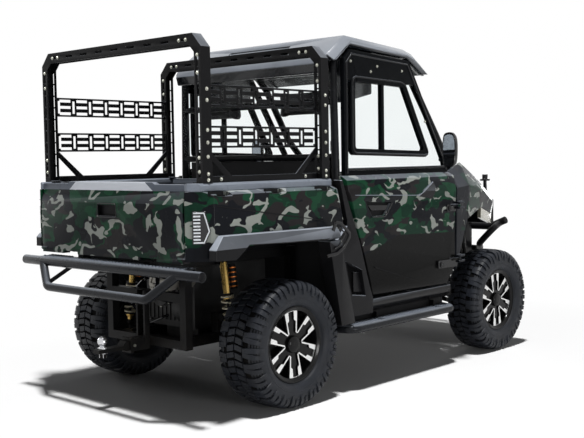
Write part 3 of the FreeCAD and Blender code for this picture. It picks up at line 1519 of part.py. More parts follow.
arm_inner_y = rail_out + arm_radius + arm_wall + seat_gap
rear_upright_y = rear_track / 2 - rear_tyre_width / 2 + rim_lip_inset + upright_tuck
rear_arms = [
    arm(0, lower_arm_height, rear_upright_y - upright_thickness / 2, lower_ball_height, arm_spread),
    arm(0, upper_arm_height, rear_upright_y - upright_thickness / 2, upper_ball_height, arm_spread),
]
upright = box(-upright_width / 2, upright_width / 2, rear_upright_y - upright_thickness / 2,
              rear_upright_y + upright_thickness / 2, lower_ball_height - ball_joint_radius,
              upper_ball_height + ball_joint_radius)
rear_hub_face = rear_track / 2 + rear_tyre_width / 2 - rim_lip_inset - spoke_inset - spoke_thickness - wheel_rim_gap
rear_hub = rod(V(0, rear_upright_y, axle_height), V(0, rear_hub_face, axle_height), hub_carrier_radius)
rear_disc = rod(V(0, rear_upright_y + upright_thickness, axle_height),
                V(0, rear_upright_y + upright_thickness + disc_thickness, axle_height), disc_radius)


def half_shaft(x, case_half, outer_y):
    """A shaft between its two boots."""
    lean = boot_radius * (shaft_inner_height - axle_height) / (outer_y - case_half)
    inner = V(x, case_half + seat_gap + lean, shaft_inner_height)
    outer = V(x, outer_y, axle_height)
    reach = outer - inner
    unit = V(reach).normalize()
    boots = [
        Part.makeCone(boot_radius, shaft_radius + seam_gap, boot_length, inner, unit),
        Part.makeCone(boot_radius, shaft_radius + seam_gap, boot_length, outer, unit * -1),
    ]
    return fuse([rod(inner, outer, shaft_radius)] + boots)


def shock_mount(x, ball_y, end):
    """The lug that carries a shock's foot from the lower arm."""
    share = (shock_low_y - arm_inner_y) / (ball_y - arm_inner_y)
    level = lower_arm_height + (lower_ball_height - lower_arm_height) * share
    leg_x = x + end * arm_spread / 2 * (1 - share)
    return rod(V(leg_x, shock_low_y, level), V(shock_foot_x(x, end), shock_low_y, shock_foot - shock_body_radius - seat_gap
               - shock_mount_radius), shock_mount_radius)


def shock_foot_x(x, end):
    """The place of a shock along the vehicle, behind or ahead of its axle."""
    return shock_front_x if x > 0 else shock_rear_x


rear_carrier = fuse([fuse([upright, rear_hub]), rear_disc])
rear_shaft = half_shaft(0, engine_half, rear_upright_y - upright_thickness / 4)
rear_lower_arm = fuse([rear_arms[0], shock_mount(0, rear_upright_y, -1)])
rear_side = fuse([rear_carrier, rear_lower_arm]).fuse(rear_arms[1]).fuse(rear_shaft)
save("rear_suspension", [rear_side, mirrored(rear_side)])

front_lower_arm = fuse([
    arm(wheelbase, lower_arm_height, king_y, lower_ball_height, arm_spread), shock_mount(wheelbase, king_y, 1)])
front_upper_arm = arm(wheelbase, upper_arm_height, king_y, upper_ball_height, arm_spread)
front_shaft = half_shaft(wheelbase, front_diff_half_y, king_y - knuckle_clear)
tie_height = rail_high + rack_housing_radius + seat_gap
steer_arm_low = tie_height - tie_rod_radius - running_gap - steer_arm_half * 2
rack_bar = rod(V(steer_rack_x, -rack_housing_half, tie_height), V(steer_rack_x, rack_housing_half, tie_height),
               rack_housing_radius)
tie_rods = [rod(V(steer_rack_x, sign * (rack_housing_half - rack_housing_radius), tie_height),
                V(wheelbase - steer_arm_length, sign * steer_arm_y, tie_height), tie_rod_radius) for sign in (1, -1)]
front_pieces = []
for piece in (front_lower_arm, front_upper_arm, front_shaft):
    front_pieces += [piece, mirrored(piece)]
save("front_suspension", front_pieces + [fuse([rack_bar] + tie_rods)])

# Knuckles: a bored upright on the king pin line with the hub carrier, disc and steering arm.
front_hub_face = front_track / 2 + front_tyre_width / 2 - rim_lip_inset - spoke_inset - spoke_thickness - wheel_rim_gap
knuckle_low = lower_ball_height + ball_joint_radius + seat_gap
knuckle_high = upper_ball_height - ball_joint_radius - seat_gap
knuckle = fuse([
    box(wheelbase - upright_width / 2, wheelbase + upright_width / 2, king_y - upright_thickness / 2,
        king_y + upright_thickness / 2, knuckle_low + king_shoulder, knuckle_high - king_shoulder),
    rod(V(wheelbase, king_y, knuckle_low), V(wheelbase, king_y, knuckle_high), king_pin_radius),
    rod(V(wheelbase, king_y, axle_height), V(wheelbase, front_hub_face, axle_height), hub_carrier_radius),
    rod(V(wheelbase, king_y + upright_thickness, axle_height),
        V(wheelbase, king_y + upright_thickness + disc_thickness, axle_height), disc_radius),
    slab_z([
        (wheelbase - upright_width / 4, king_y - upright_thickness / 2),
        (wheelbase - upright_width / 4, king_y + upright_thickness / 4),
        (wheelbase - steer_arm_length - steer_arm_half, steer_arm_y + steer_arm_half),
        (wheelbase - steer_arm_length - steer_arm_half, steer_arm_y - steer_arm_half),
    ], steer_arm_low, steer_arm_low + steer_arm_half * 2),
])
for side in ("left", "right"):
    save("knuckle_" + side, [knuckle if side == "left" else mirrored(knuckle)])


# Shocks: a body, a spring and a reservoir beside the body, between a tower and the lower arm.
def shock(x, top_height, reservoir_side):
    top = V(x, shock_top_y, top_height)
    foot = V(x, shock_low_y, shock_foot)
    reach = foot - top
    unit = V(reach).normalize()
    body_end = top + unit * (reach.Length * shock_body_share)
    parts = [
        rod(top, foot, shock_body_radius / 2 + seam_gap),
        rod(top, body_end, shock_body_radius),
        rod(top + unit * shock_radius, body_end + unit * (reach.Length * shock_body_share), shock_radius),
        rod(V(x - shock_radius / 2, shock_top_y, top_height), V(x + shock_radius / 2, shock_top_y, top_height),
            shock_body_radius),
        box(x - shock_body_radius, x + shock_body_radius, post_out + seat_gap, shock_top_y,
            top_height - shock_body_radius, top_height + shock_body_radius / 2),
        Part.makeSphere(shock_body_radius, foot),
    ]
    start = top + unit * shock_radius + V(reservoir_side * (shock_radius + reservoir_radius + seam_gap), 0, 0)
    parts.append(rod(start, start + unit * reservoir_length, reservoir_radius))
    parts.append(rod(start + unit * reservoir_radius - V(reservoir_side * shock_radius * 1.5, 0, 0),
                     start + unit * reservoir_radius, reservoir_radius / 2))
    return fuse(parts)


shocks = []
for x, height, side in ((shock_rear_x, shock_top_rear, 1), (shock_front_x, shock_top_front, -1)):
    piece = shock(x, height, side)
    shocks += [piece, mirrored(piece)]
save("shocks", shocks)

# Power unit, plain: engine block with the rear transaxle, and the front gear case.
engine = fuse([
    box(engine_rear_x, engine_front_x, -engine_half, engine_half, engine_low, engine_high),
    box(-transaxle_half_x, transaxle_half_x, -transaxle_half_y, transaxle_half_y, transaxle_low, engine_low + rail_height),
])
gear_case = box(wheelbase - front_diff_half_x, wheelbase + front_diff_half_x, -front_diff_half_y, front_diff_half_y,
                front_diff_low, front_diff_high)
save("drive_unit", [engine, gear_case])

# Cab tub: floor, hollow seat base, rear wall and firewall.
floor_low_face = tube_high + seat_gap
tub = fuse([
    box(floor_rear_x, floor_front_x, -floor_half, floor_half, floor_low_face, floor_low_face + floor_thickness),
    box(wall_x, wall_x + wall_thickness, -wall_half, wall_half, wall_low, wall_top),
    box(floor_rear_x - wall_thickness, floor_rear_x + wall_thickness, -wall_half, wall_half, floor_low_face, wall_low + wall_thickness),
    box(floor_front_x - wall_thickness, floor_front_x, -wall_half, wall_half, floor_low_face, firewall_top),
    cut(box(seat_base_rear_x, seat_base_front_x, -seat_base_half, seat_base_half, floor_low_face, seat_base_high), [
        box(seat_base_rear_x + wall_thickness, seat_base_front_x - wall_thickness, -seat_base_half + wall_thickness,
            seat_base_half - wall_thickness, floor_low_face - overrun, seat_base_high - wall_thickness)]),
])
save("cab_tub", [tub])

# Dashboard with its cowl and the steering column.
tilt = math.radians(wheel_tilt)
column_axis = V(math.cos(tilt), 0, -math.sin(tilt))
steering_centre = V(steering_x, column_y, steering_height)
column_start = steering_centre + column_axis * (steering_grip * 2 + seat_gap)
column_end = steering_centre + column_axis * column_length
dash_front_x = floor_front_x - wall_thickness - seat_gap
dash = slab_y([
    (dash_rear_x, dash_low + dash_step), (dash_rear_x + dash_step, dash_low), (dash_front_x, dash_low),
    (dash_front_x, dash_top), (dash_rear_x + dash_step, dash_top), (dash_rear_x, dash_top - dash_step),
], -dash_half, dash_half)
cowl = box(dash_front_x - dash_step, fender_stations[1] - seam_gap, -cowl_half, cowl_half,
           a_foot_height + cage_cross_radius + seat_gap, a_foot_height + cage_cross_radius + seat_gap + wall_thickness)
cluster = box(dash_rear_x - dash_step / 2, dash_rear_x + dash_step, column_y - cluster_half, column_y + cluster_half,
              dash_top - cluster_drop, dash_top + cluster_rise)
save("dashboard", [fuse([dash, cowl, cluster, rod(column_start, column_end, column_radius)])])

rim_ring = Part.makeTorus(steering_radius, steering_grip, steering_centre, column_axis)
across = V(0, 1, 0)
upward = column_axis.cross(across)
hub_piece = rod(steering_centre - column_axis * steering_grip, steering_centre + column_axis * steering_grip * 2, steering_hub)
spokes = []
for angle in steering_spoke_angles:
    turn = math.radians(angle)
    direction = across * math.cos(turn) + upward * math.sin(turn)
    spokes.append(rod(steering_centre, steering_centre + direction * steering_radius, steering_grip * 0.7))
save("steering_wheel", [fuse([rim_ring, hub_piece] + spokes)])

# Seats: two cushions and two backs on the seat base, and headrests on the cab's cross tube.
seat_floor = seat_base_high + seat_gap
headrest_back = pillar_x + cage_cross_radius + seat_gap
seats = []
for sign in (1, -1):
    middle = sign * seat_y
    cushion = slab_y([
        (cushion_rear_x, seat_floor), (cushion_front_x, seat_floor), (cushion_front_x, seat_floor + cushion_thickness * 0.8),
        (cushion_front_x - seat_round, seat_floor + cushion_thickness), (cushion_rear_x, seat_floor + cushion_thickness * 0.9),
    ], middle - seat_half, middle + seat_half)
    back = slab_y([
        (back_low_x, seat_floor), (cushion_rear_x - seat_gap, seat_floor),
        (cushion_rear_x - seat_gap, seat_floor + cushion_thickness), (back_top_x + back_thickness * 0.8, back_top),
        (back_top_x, back_top), (back_top_x - seat_round / 3, back_top - seat_round),
    ], middle - seat_half, middle + seat_half)
    low, high = sorted((sign * headrest_inner_y, sign * headrest_outer_y))
    rest = box(headrest_back, headrest_back + headrest_depth, low, high, headrest_low, headrest_high)
    rest = rest.makeFillet(seat_round, [edge for edge in rest.Edges if edge.BoundBox.XLength > headrest_depth / 2])
    seats += [cushion, back, rest]
save("seats", seats)

# Glass: the windscreen along the front of the pillars and the rear window behind them.
def offset_line(points, distance):
    """A line of XZ points moved forwards and upwards."""
    moved = []
    for index in range(len(points)):
        ax, az = points[max(index - 1, 0)]
        bx, bz = points[index]
        cx, cz = points[min(index + 1, len(points) - 1)]
        normals = []
        for px, pz, qx, qz in ((ax, az, bx, bz), (bx, bz, cx, cz)):
            length = math.hypot(qx - px, qz - pz)
            if length > 0:
                normals.append(((pz - qz) / length, (qx - px) / length))
        nx = sum(n[0] for n in normals)
        nz = sum(n[1] for n in normals)
        scale = distance * 2 / (nx * nx + nz * nz) if len(normals) == 2 else distance
        moved.append((bx + nx * scale, bz + nz * scale))
    return moved


screen_top = (roof_rail_front_x + (a_head_x - roof_rail_front_x) * screen_top_share,
              roof_rail_front_height + (a_head_height - roof_rail_front_height) * screen_top_share)
screen_foot = (a_base_x + (a_knee_x - a_base_x) * screen_foot_share,
               a_base_height + (a_knee_height - a_base_height) * screen_foot_share)
screen_line = [screen_top, (a_head_x, a_head_height), (a_base_x, a_base_height), screen_foot]
screen = slab_y(
    offset_line(screen_line, cage_radius + seat_gap + screen_bend_gap)
    + list(reversed(offset_line(screen_line, cage_radius + seat_gap + screen_bend_gap + glass_edge))),
    -screen_half, screen_half)
rear_pane_x = pillar_x - cage_radius - seat_gap
rear_pane = box(rear_pane_x - glass_thickness, rear_pane_x, -rear_pane_half, rear_pane_half, rear_glass_low, rear_glass_high)
save("cab_glass", [screen, rear_pane])
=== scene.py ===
"""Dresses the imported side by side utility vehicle: finishes, wheels, lamps, seats, fasteners and light."""
import json
import logging
import math
from dataclasses import dataclass
from enum import Enum
from typing import Callable, Optional, Sequence

import bmesh
import bpy
import numpy as np
from mathutils import Matrix, Vector


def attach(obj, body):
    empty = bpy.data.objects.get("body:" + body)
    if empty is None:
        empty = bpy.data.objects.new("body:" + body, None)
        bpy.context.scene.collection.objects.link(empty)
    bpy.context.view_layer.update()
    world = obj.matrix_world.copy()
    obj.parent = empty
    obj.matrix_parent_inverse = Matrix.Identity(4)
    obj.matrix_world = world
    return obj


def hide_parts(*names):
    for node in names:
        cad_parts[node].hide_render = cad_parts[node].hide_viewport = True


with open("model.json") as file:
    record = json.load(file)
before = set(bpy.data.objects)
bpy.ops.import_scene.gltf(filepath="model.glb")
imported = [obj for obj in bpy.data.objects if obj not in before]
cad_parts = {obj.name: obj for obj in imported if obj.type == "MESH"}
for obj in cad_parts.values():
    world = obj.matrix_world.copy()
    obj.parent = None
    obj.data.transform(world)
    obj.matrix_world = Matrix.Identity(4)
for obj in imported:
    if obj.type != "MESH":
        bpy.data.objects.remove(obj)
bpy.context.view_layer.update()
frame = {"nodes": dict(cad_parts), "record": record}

log = logging.getLogger("utility_vehicle")
Array = np.ndarray
Points = Sequence[Sequence[float]]
MM = 0.001
REAR_AXLE_X = -0.874
AXLE_HEIGHT = 325.0
WHEELBASE = 1937.0
ON_AXIS = 0.01
FLOAT, COLOUR = "NodeSocketFloat", "NodeSocketColor"
Y_TO_Z = np.array([[1.0, 0.0, 0.0], [0.0, 0.0, -1.0], [0.0, 1.0, 0.0]])


class Side(Enum):
    """The two sides of the vehicle, as the sign of Y."""

    LEFT = 1
    RIGHT = -1


def placed(points: Array) -> Array:
    """Turns millimetres from the rear axle's foot into metres in the frame.

    Args:
        points: an array whose last axis holds x, y and z.

    Returns:
        The same points in metres.
    """
    return np.asarray(points, dtype=float) * MM + np.array([REAR_AXLE_X, 0.0, 0.0])


# Surfaces
@dataclass
class Patch:
    """Points in millimetres and the faces between them."""

    points: Array
    faces: list

    def moved(self, shift: Sequence[float]) -> "Patch":
        """The patch shifted by x, y and z."""
        return Patch(self.points + np.asarray(shift, dtype=float), self.faces)

    def turned(self, matrix: Array) -> "Patch":
        """The patch with every point multiplied by a 3 by 3 matrix."""
        return Patch(self.points @ np.asarray(matrix, dtype=float).T, self.faces)

    def mirrored(self) -> "Patch":
        """The patch on the other side of the vehicle, its faces turned round."""
        flipped = self.points * np.array([1.0, -1.0, 1.0])
        return Patch(flipped, [faces[:, ::-1] for faces in self.faces])

    def both_sides(self) -> "Patch":
        """The patch together with its mirror image."""
        return joined([self, self.mirrored()])

    def repeated_faces(self, times: int) -> list:
        """The faces of several copies whose points follow one another."""
        shifts = np.arange(times) * len(self.points)
        return [(f[None] + shifts[:, None, None]).reshape(-1, f.shape[1]) for f in self.faces]


def joined(patches: Sequence[Patch]) -> Patch:
    """One patch that holds several."""
    counts = np.cumsum([0] + [len(p.points) for p in patches])
    faces = [f + start for p, start in zip(patches, counts) for f in p.faces]
    return Patch(np.concatenate([p.points for p in patches]), faces)


def grid(points: Array, close_u: bool = False, close_v: bool = False) -> Patch:
    """Quads over a grid: cell (i, j) joins points i, j to i+1, j+1.

    Args:
        points: an array of shape (u, v, 3).
        close_u: whether the last row joins the first.
        close_v: whether the last column joins the first.

    Returns:
        The patch.
    """
    rows, columns = points.shape[:2]
    index = np.arange(rows * columns).reshape(rows, columns)
    if close_u:
        index = np.concatenate([index, index[:1]], axis=0)
    if close_v:
        index = np.concatenate([index, index[:, :1]], axis=1)
    quads = np.stack([index[:-1, :-1], index[1:, :-1], index[1:, 1:], index[:-1, 1:]], axis=-1)
    return Patch(points.reshape(-1, 3), [quads.reshape(-1, 4)])


def capped(points: Array) -> Patch:
    """A tube of rings, points[u, v], closed round v, with a flat face over the first and last rings."""
    wall = grid(points, close_v=True)
    rows, columns = points.shape[:2]
    first = np.arange(columns)[None]
    last = (np.arange(columns) + (rows - 1) * columns)[None, ::-1]
    return Patch(wall.points, wall.faces + [first, last])


def prism(outline: Points, axis: int, low: float, high: float) -> Patch:
    """A flat outline carried straight along one axis.

    Args:
        outline: the two coordinates of each corner, in the order of the other axes.
        axis: 0, 1 or 2 for x, y or z.
        low: the start along the axis.
        high: the end along the axis.

    Returns:
        A closed patch.
    """
    flat = np.asarray(outline, dtype=float)
    ends = np.empty((2, len(flat), 3))
    others = [a for a in range(3) if a != axis]
    ends[:, :, others[0]] = flat[:, 0]
    ends[:, :, others[1]] = flat[:, 1]
    ends[0, :, axis] = low
    ends[1, :, axis] = high
    return capped(ends)


def rectangle(low_u: float, high_u: float, low_v: float, high_v: float) -> list:
    """The four corners of a rectangle, from its low corner round by its high u."""
    return [(low_u, low_v), (high_u, low_v), (high_u, high_v), (low_u, high_v)]


def turned_section(profile: Points, steps: int) -> Patch:
    """A section turned about the Y axis: point (r, y) goes to (r cos a, y, r sin a).

    Args:
        profile: radius and side of each point of the section.
        steps: how many stations the whole turn has.

    Returns:
        The patch, closed round the turn.
    """
    profile = np.asarray(profile, dtype=float)
    angle = np.radians(np.linspace(0.0, 360.0, steps, endpoint=False))[:, None]
    radius, side = profile[None, :, 0], profile[None, :, 1]
    points = np.stack([radius * np.cos(angle), np.broadcast_to(side, (steps, len(profile))),
                       radius * np.sin(angle)], axis=-1)
    return grid(points, close_u=True)


def smooth_line(points: Points, samples: int, closed: bool = False) -> Array:
    """A curve through the given points, a cubic in each span.

    The slope at a point is half the step between its neighbours.
    """
    p = np.asarray(points, dtype=float)
    if closed:
        q = np.concatenate([p[-1:], p, p[:2]])
    else:
        q = np.concatenate([2 * p[:1] - p[1:2], p, 2 * p[-1:] - p[-2:-1]])
    spans = len(q) - 3
    t = np.linspace(0.0, spans, samples, endpoint=not closed)
    i = np.minimum(t.astype(int), spans - 1)
    f = (t - i)[:, None]
    a, b, c, d = q[i], q[i + 1], q[i + 2], q[i + 3]
    square, cube = 2 * a - 5 * b + 4 * c - d, 3 * b - a - 3 * c + d
    return 0.5 * (2 * b + (c - a) * f + square * f ** 2 + cube * f ** 3)


def swept(path: Array, section: Array, up: Sequence[float] = (0.0, 0.0, 1.0), closed: bool = False) -> Patch:
    """A closed section carried square to a path, its second axis as near to up as the path allows.

    Args:
        path: the points of the path, shape (n, 3).
        section: the points of the section across and up, shape (m, 2) or (n, m, 2).
        up: the direction that the section's second axis leans to.
        closed: whether the path is a ring.

    Returns:
        A closed patch.
    """
    if closed:
        along = np.roll(path, -1, axis=0) - np.roll(path, 1, axis=0)
    else:
        along = np.gradient(path, axis=0)
    along /= np.linalg.norm(along, axis=1, keepdims=True)
    across = np.cross(along, np.asarray(up, dtype=float))
    across /= np.linalg.norm(across, axis=1, keepdims=True)
    rise = np.cross(across, along)
    shape = np.broadcast_to(section, (len(path),) + np.shape(section)[-2:])
    points = path[:, None] + across[:, None] * shape[..., :1] + rise[:, None] * shape[..., 1:]
    return grid(points, close_u=True, close_v=True) if closed else capped(points)


def circle(radius: float, sides: int) -> Array:
    """Points round a circle, anticlockwise."""
    a = np.linspace(0.0, 2 * np.pi, sides, endpoint=False)
    return radius * np.stack([np.cos(a), np.sin(a)], axis=-1)


def rounded_outline(corners: Points, radius: float, steps: int = 4) -> Array:
    """An outline with rounded corners, each a quadratic between points set back along its two edges."""
    p = np.asarray(corners, dtype=float)
    before, after = np.roll(p, 1, axis=0) - p, np.roll(p, -1, axis=0) - p
    lb, la = np.linalg.norm(before, axis=1, keepdims=True), np.linalg.norm(after, axis=1, keepdims=True)
    cut = np.minimum(radius, np.minimum(lb, la) * 0.49)
    start, end = p + before / lb * cut, p + after / la * cut
    t = np.linspace(0.0, 1.0, steps)[None, :, None]
    curve = start[:, None] * (1 - t) ** 2 + 2 * p[:, None] * t * (1 - t) + end[:, None] * t ** 2
    return curve.reshape(-1, 2)


def tapered_strip(path: Array, half: Array, lean: float) -> Patch:
    """A thin leaning strip along a path, its half height given at each point."""
    unit = np.array(rectangle(-lean, lean, -1.0, 1.0))
    return swept(path, unit[None] * half[:, None, None])


def aimed(direction: Sequence[float]) -> Array:
    """A 3 by 3 matrix that turns +Z to a direction."""
    z = np.asarray(direction, dtype=float)
    z = z / np.linalg.norm(z)
    helper = np.array([0.0, 0.0, 1.0]) if abs(z[2]) < 0.9 else np.array([1.0, 0.0, 0.0])
    x = np.cross(helper, z)
    x /= np.linalg.norm(x)
    return np.stack([x, np.cross(z, x), z], axis=1)


def upright(patch: Patch) -> Patch:
    """A patch made about the Y axis stood up, so that its axis points along Z."""
    return patch.turned(Y_TO_Z)


def along_axis(patch: Patch, direction: Sequence[float]) -> Patch:
    """A patch made about +Y turned to point along a direction."""
    return patch.turned(aimed(direction) @ Y_TO_Z)


def copies(patch: Patch, places: Points) -> Patch:
    """The same patch at several places, as one array."""
    places = np.asarray(places, dtype=float)
    points = (patch.points[None] + places[:, None]).reshape(-1, 3)
    return Patch(points, patch.repeated_faces(len(places)))


def spun(patch: Patch, angles: Array) -> Patch:
    """The same patch turned about the Y axis by each angle in degrees, as one array."""
    a = np.radians(np.asarray(angles, dtype=float))
    c, s, zero, one = np.cos(a), np.sin(a), np.zeros_like(a), np.ones_like(a)
    turn = np.stack([c, zero, -s, zero, one, zero, s, zero, c], axis=-1).reshape(-1, 3, 3)
    points = np.einsum("kij,nj->kni", turn, patch.points).reshape(-1, 3)
    return Patch(points, patch.repeated_faces(len(a)))


def mesh_of(name: str, patch: Patch, merge: float = 0.0, outwards: bool = True) -> bpy.types.Mesh:
    """A mesh in metres from a patch in millimetres.

    Args:
        name: the mesh's name.
        patch: its surface.
        merge: the distance in metres under which points become one, or 0.
        outwards: whether its faces are turned outwards.

    Returns:
        The mesh.
    """
    mesh = bpy.data.meshes.new(name)
    faces = [face for block in patch.faces for face in block.tolist()]
    mesh.from_pydata(placed(patch.points).tolist(), [], faces)
    bm = bmesh.new()
    bm.from_mesh(mesh)
    if merge:
        bmesh.ops.remove_doubles(bm, verts=bm.verts, dist=merge)
    if outwards:
        bmesh.ops.recalc_face_normals(bm, faces=bm.faces)
    bm.to_mesh(mesh)
    bm.free()
    return mesh


def linked(name: str, data: bpy.types.ID) -> bpy.types.Object:
    """A new object that shows some data, linked to the scene."""
    obj = bpy.data.objects.new(name, data)
    bpy.context.scene.collection.objects.link(obj)
    return obj


# Finishes
class Sheet:
    """A small helper that adds nodes to a tree and joins them."""

    def __init__(self, tree: bpy.types.NodeTree) -> None:
        """Keeps the tree."""
        self.tree = tree

    def feed(self, node: bpy.types.Node, inputs: dict) -> None:
        """Gives each named or numbered input of a node its value, or joins it to another node's socket."""
        for name, value in inputs.items():
            socket = node.inputs[name]
            if isinstance(value, bpy.types.NodeSocket):
                self.tree.links.new(value, socket)
            else:
                socket.default_value = value

    def add(self, kind: str, inputs: Optional[dict] = None, **settings: object) -> bpy.types.Node:
        """Adds a node, sets its own settings and its inputs.

        Args:
            kind: the node's type name.
            inputs: a value or another node's socket for each named or numbered input.
            settings: the node's properties.

        Returns:
            The new node.
        """
        node = self.tree.nodes.new(kind)
        for name, value in settings.items():
            setattr(node, name, value)
        self.feed(node, inputs or {})
        return node

    def maths(self, operation: str, *values: object) -> bpy.types.NodeSocket:
        """One step of arithmetic, and its result."""
        return self.add("ShaderNodeMath", dict(enumerate(values)), operation=operation).outputs[0]

    def vectors(self, operation: str, *values: object) -> bpy.types.NodeSocket:
        """One step of arithmetic on vectors, and its result."""
        return self.add("ShaderNodeVectorMath", dict(enumerate(values)), operation=operation).outputs[0]

    def blend(self, factor: object, first: object, second: object) -> bpy.types.NodeSocket:
        """A colour between two, by a factor."""
        return self.add("ShaderNodeMix", {0: factor, 6: first, 7: second}, data_type="RGBA").outputs[2]

    def range(self, value: object, low: object, high: object, to_low: object,
              to_high: object) -> bpy.types.NodeSocket:
        """A value carried from one range to another, held at its ends."""
        return self.add("ShaderNodeMapRange", {0: value, 1: low, 2: high, 3: to_low, 4: to_high}).outputs[0]

    def place(self) -> bpy.types.NodeSocket:
        """Where a point lies on its own object."""
        return self.add("ShaderNodeTexCoord").outputs["Object"]

    def axes(self, vector: bpy.types.NodeSocket) -> list[bpy.types.NodeSocket]:
        """The x, y and z of a vector."""
        return list(self.add("ShaderNodeSeparateXYZ", {0: vector}).outputs)

    def noise(self, vector: object, scale: object, detail: float = 2.0,
              roughness: float = 0.5) -> bpy.types.Node:
        """A noise texture over a place."""
        return self.add("ShaderNodeTexNoise", {"Vector": vector, "Scale": scale, "Detail": detail,
                                               "Roughness": roughness})

    def seen(self) -> bpy.types.NodeSocket:
        """Whether a ray comes from the camera, a mirror or glass."""
        path = self.add("ShaderNodeLightPath").outputs
        return self.maths("MAXIMUM", path["Is Camera Ray"],
                          self.maths("MAXIMUM", path["Is Glossy Ray"], path["Is Transmission Ray"]))


def group(name: str, inputs: dict, outputs: dict) -> tuple[Sheet, dict, bpy.types.Node]:
    """A shader node group with named sockets.

    Args:
        name: the group's name.
        inputs: for each input, its socket type and its value at the start.
        outputs: for each output, its socket type.

    Returns:
        A helper for the group's tree, its input sockets by name, and its output node.
    """
    tree = bpy.data.node_groups.new(name, "ShaderNodeTree")
    for label, (kind, value) in inputs.items():
        socket = tree.interface.new_socket(label, in_out="INPUT", socket_type=kind)
        socket.default_value = value
    for label, kind in outputs.items():
        tree.interface.new_socket(label, in_out="OUTPUT", socket_type=kind)
    entry = tree.nodes.new("NodeGroupInput")
    return Sheet(tree), {s.name: s for s in entry.outputs}, tree.nodes.new("NodeGroupOutput")


def colour(red: float, green: float, blue: float) -> tuple[float, float, float, float]:
    """A colour from screen values of 0 to 255, as linear light."""
    def linear(v: float) -> float:
        """One screen value as linear light."""
        v /= 255.0
        return v / 12.92 if v <= 0.04045 else ((v + 0.055) / 1.055) ** 2.4
    return linear(red), linear(green), linear(blue), 1.0


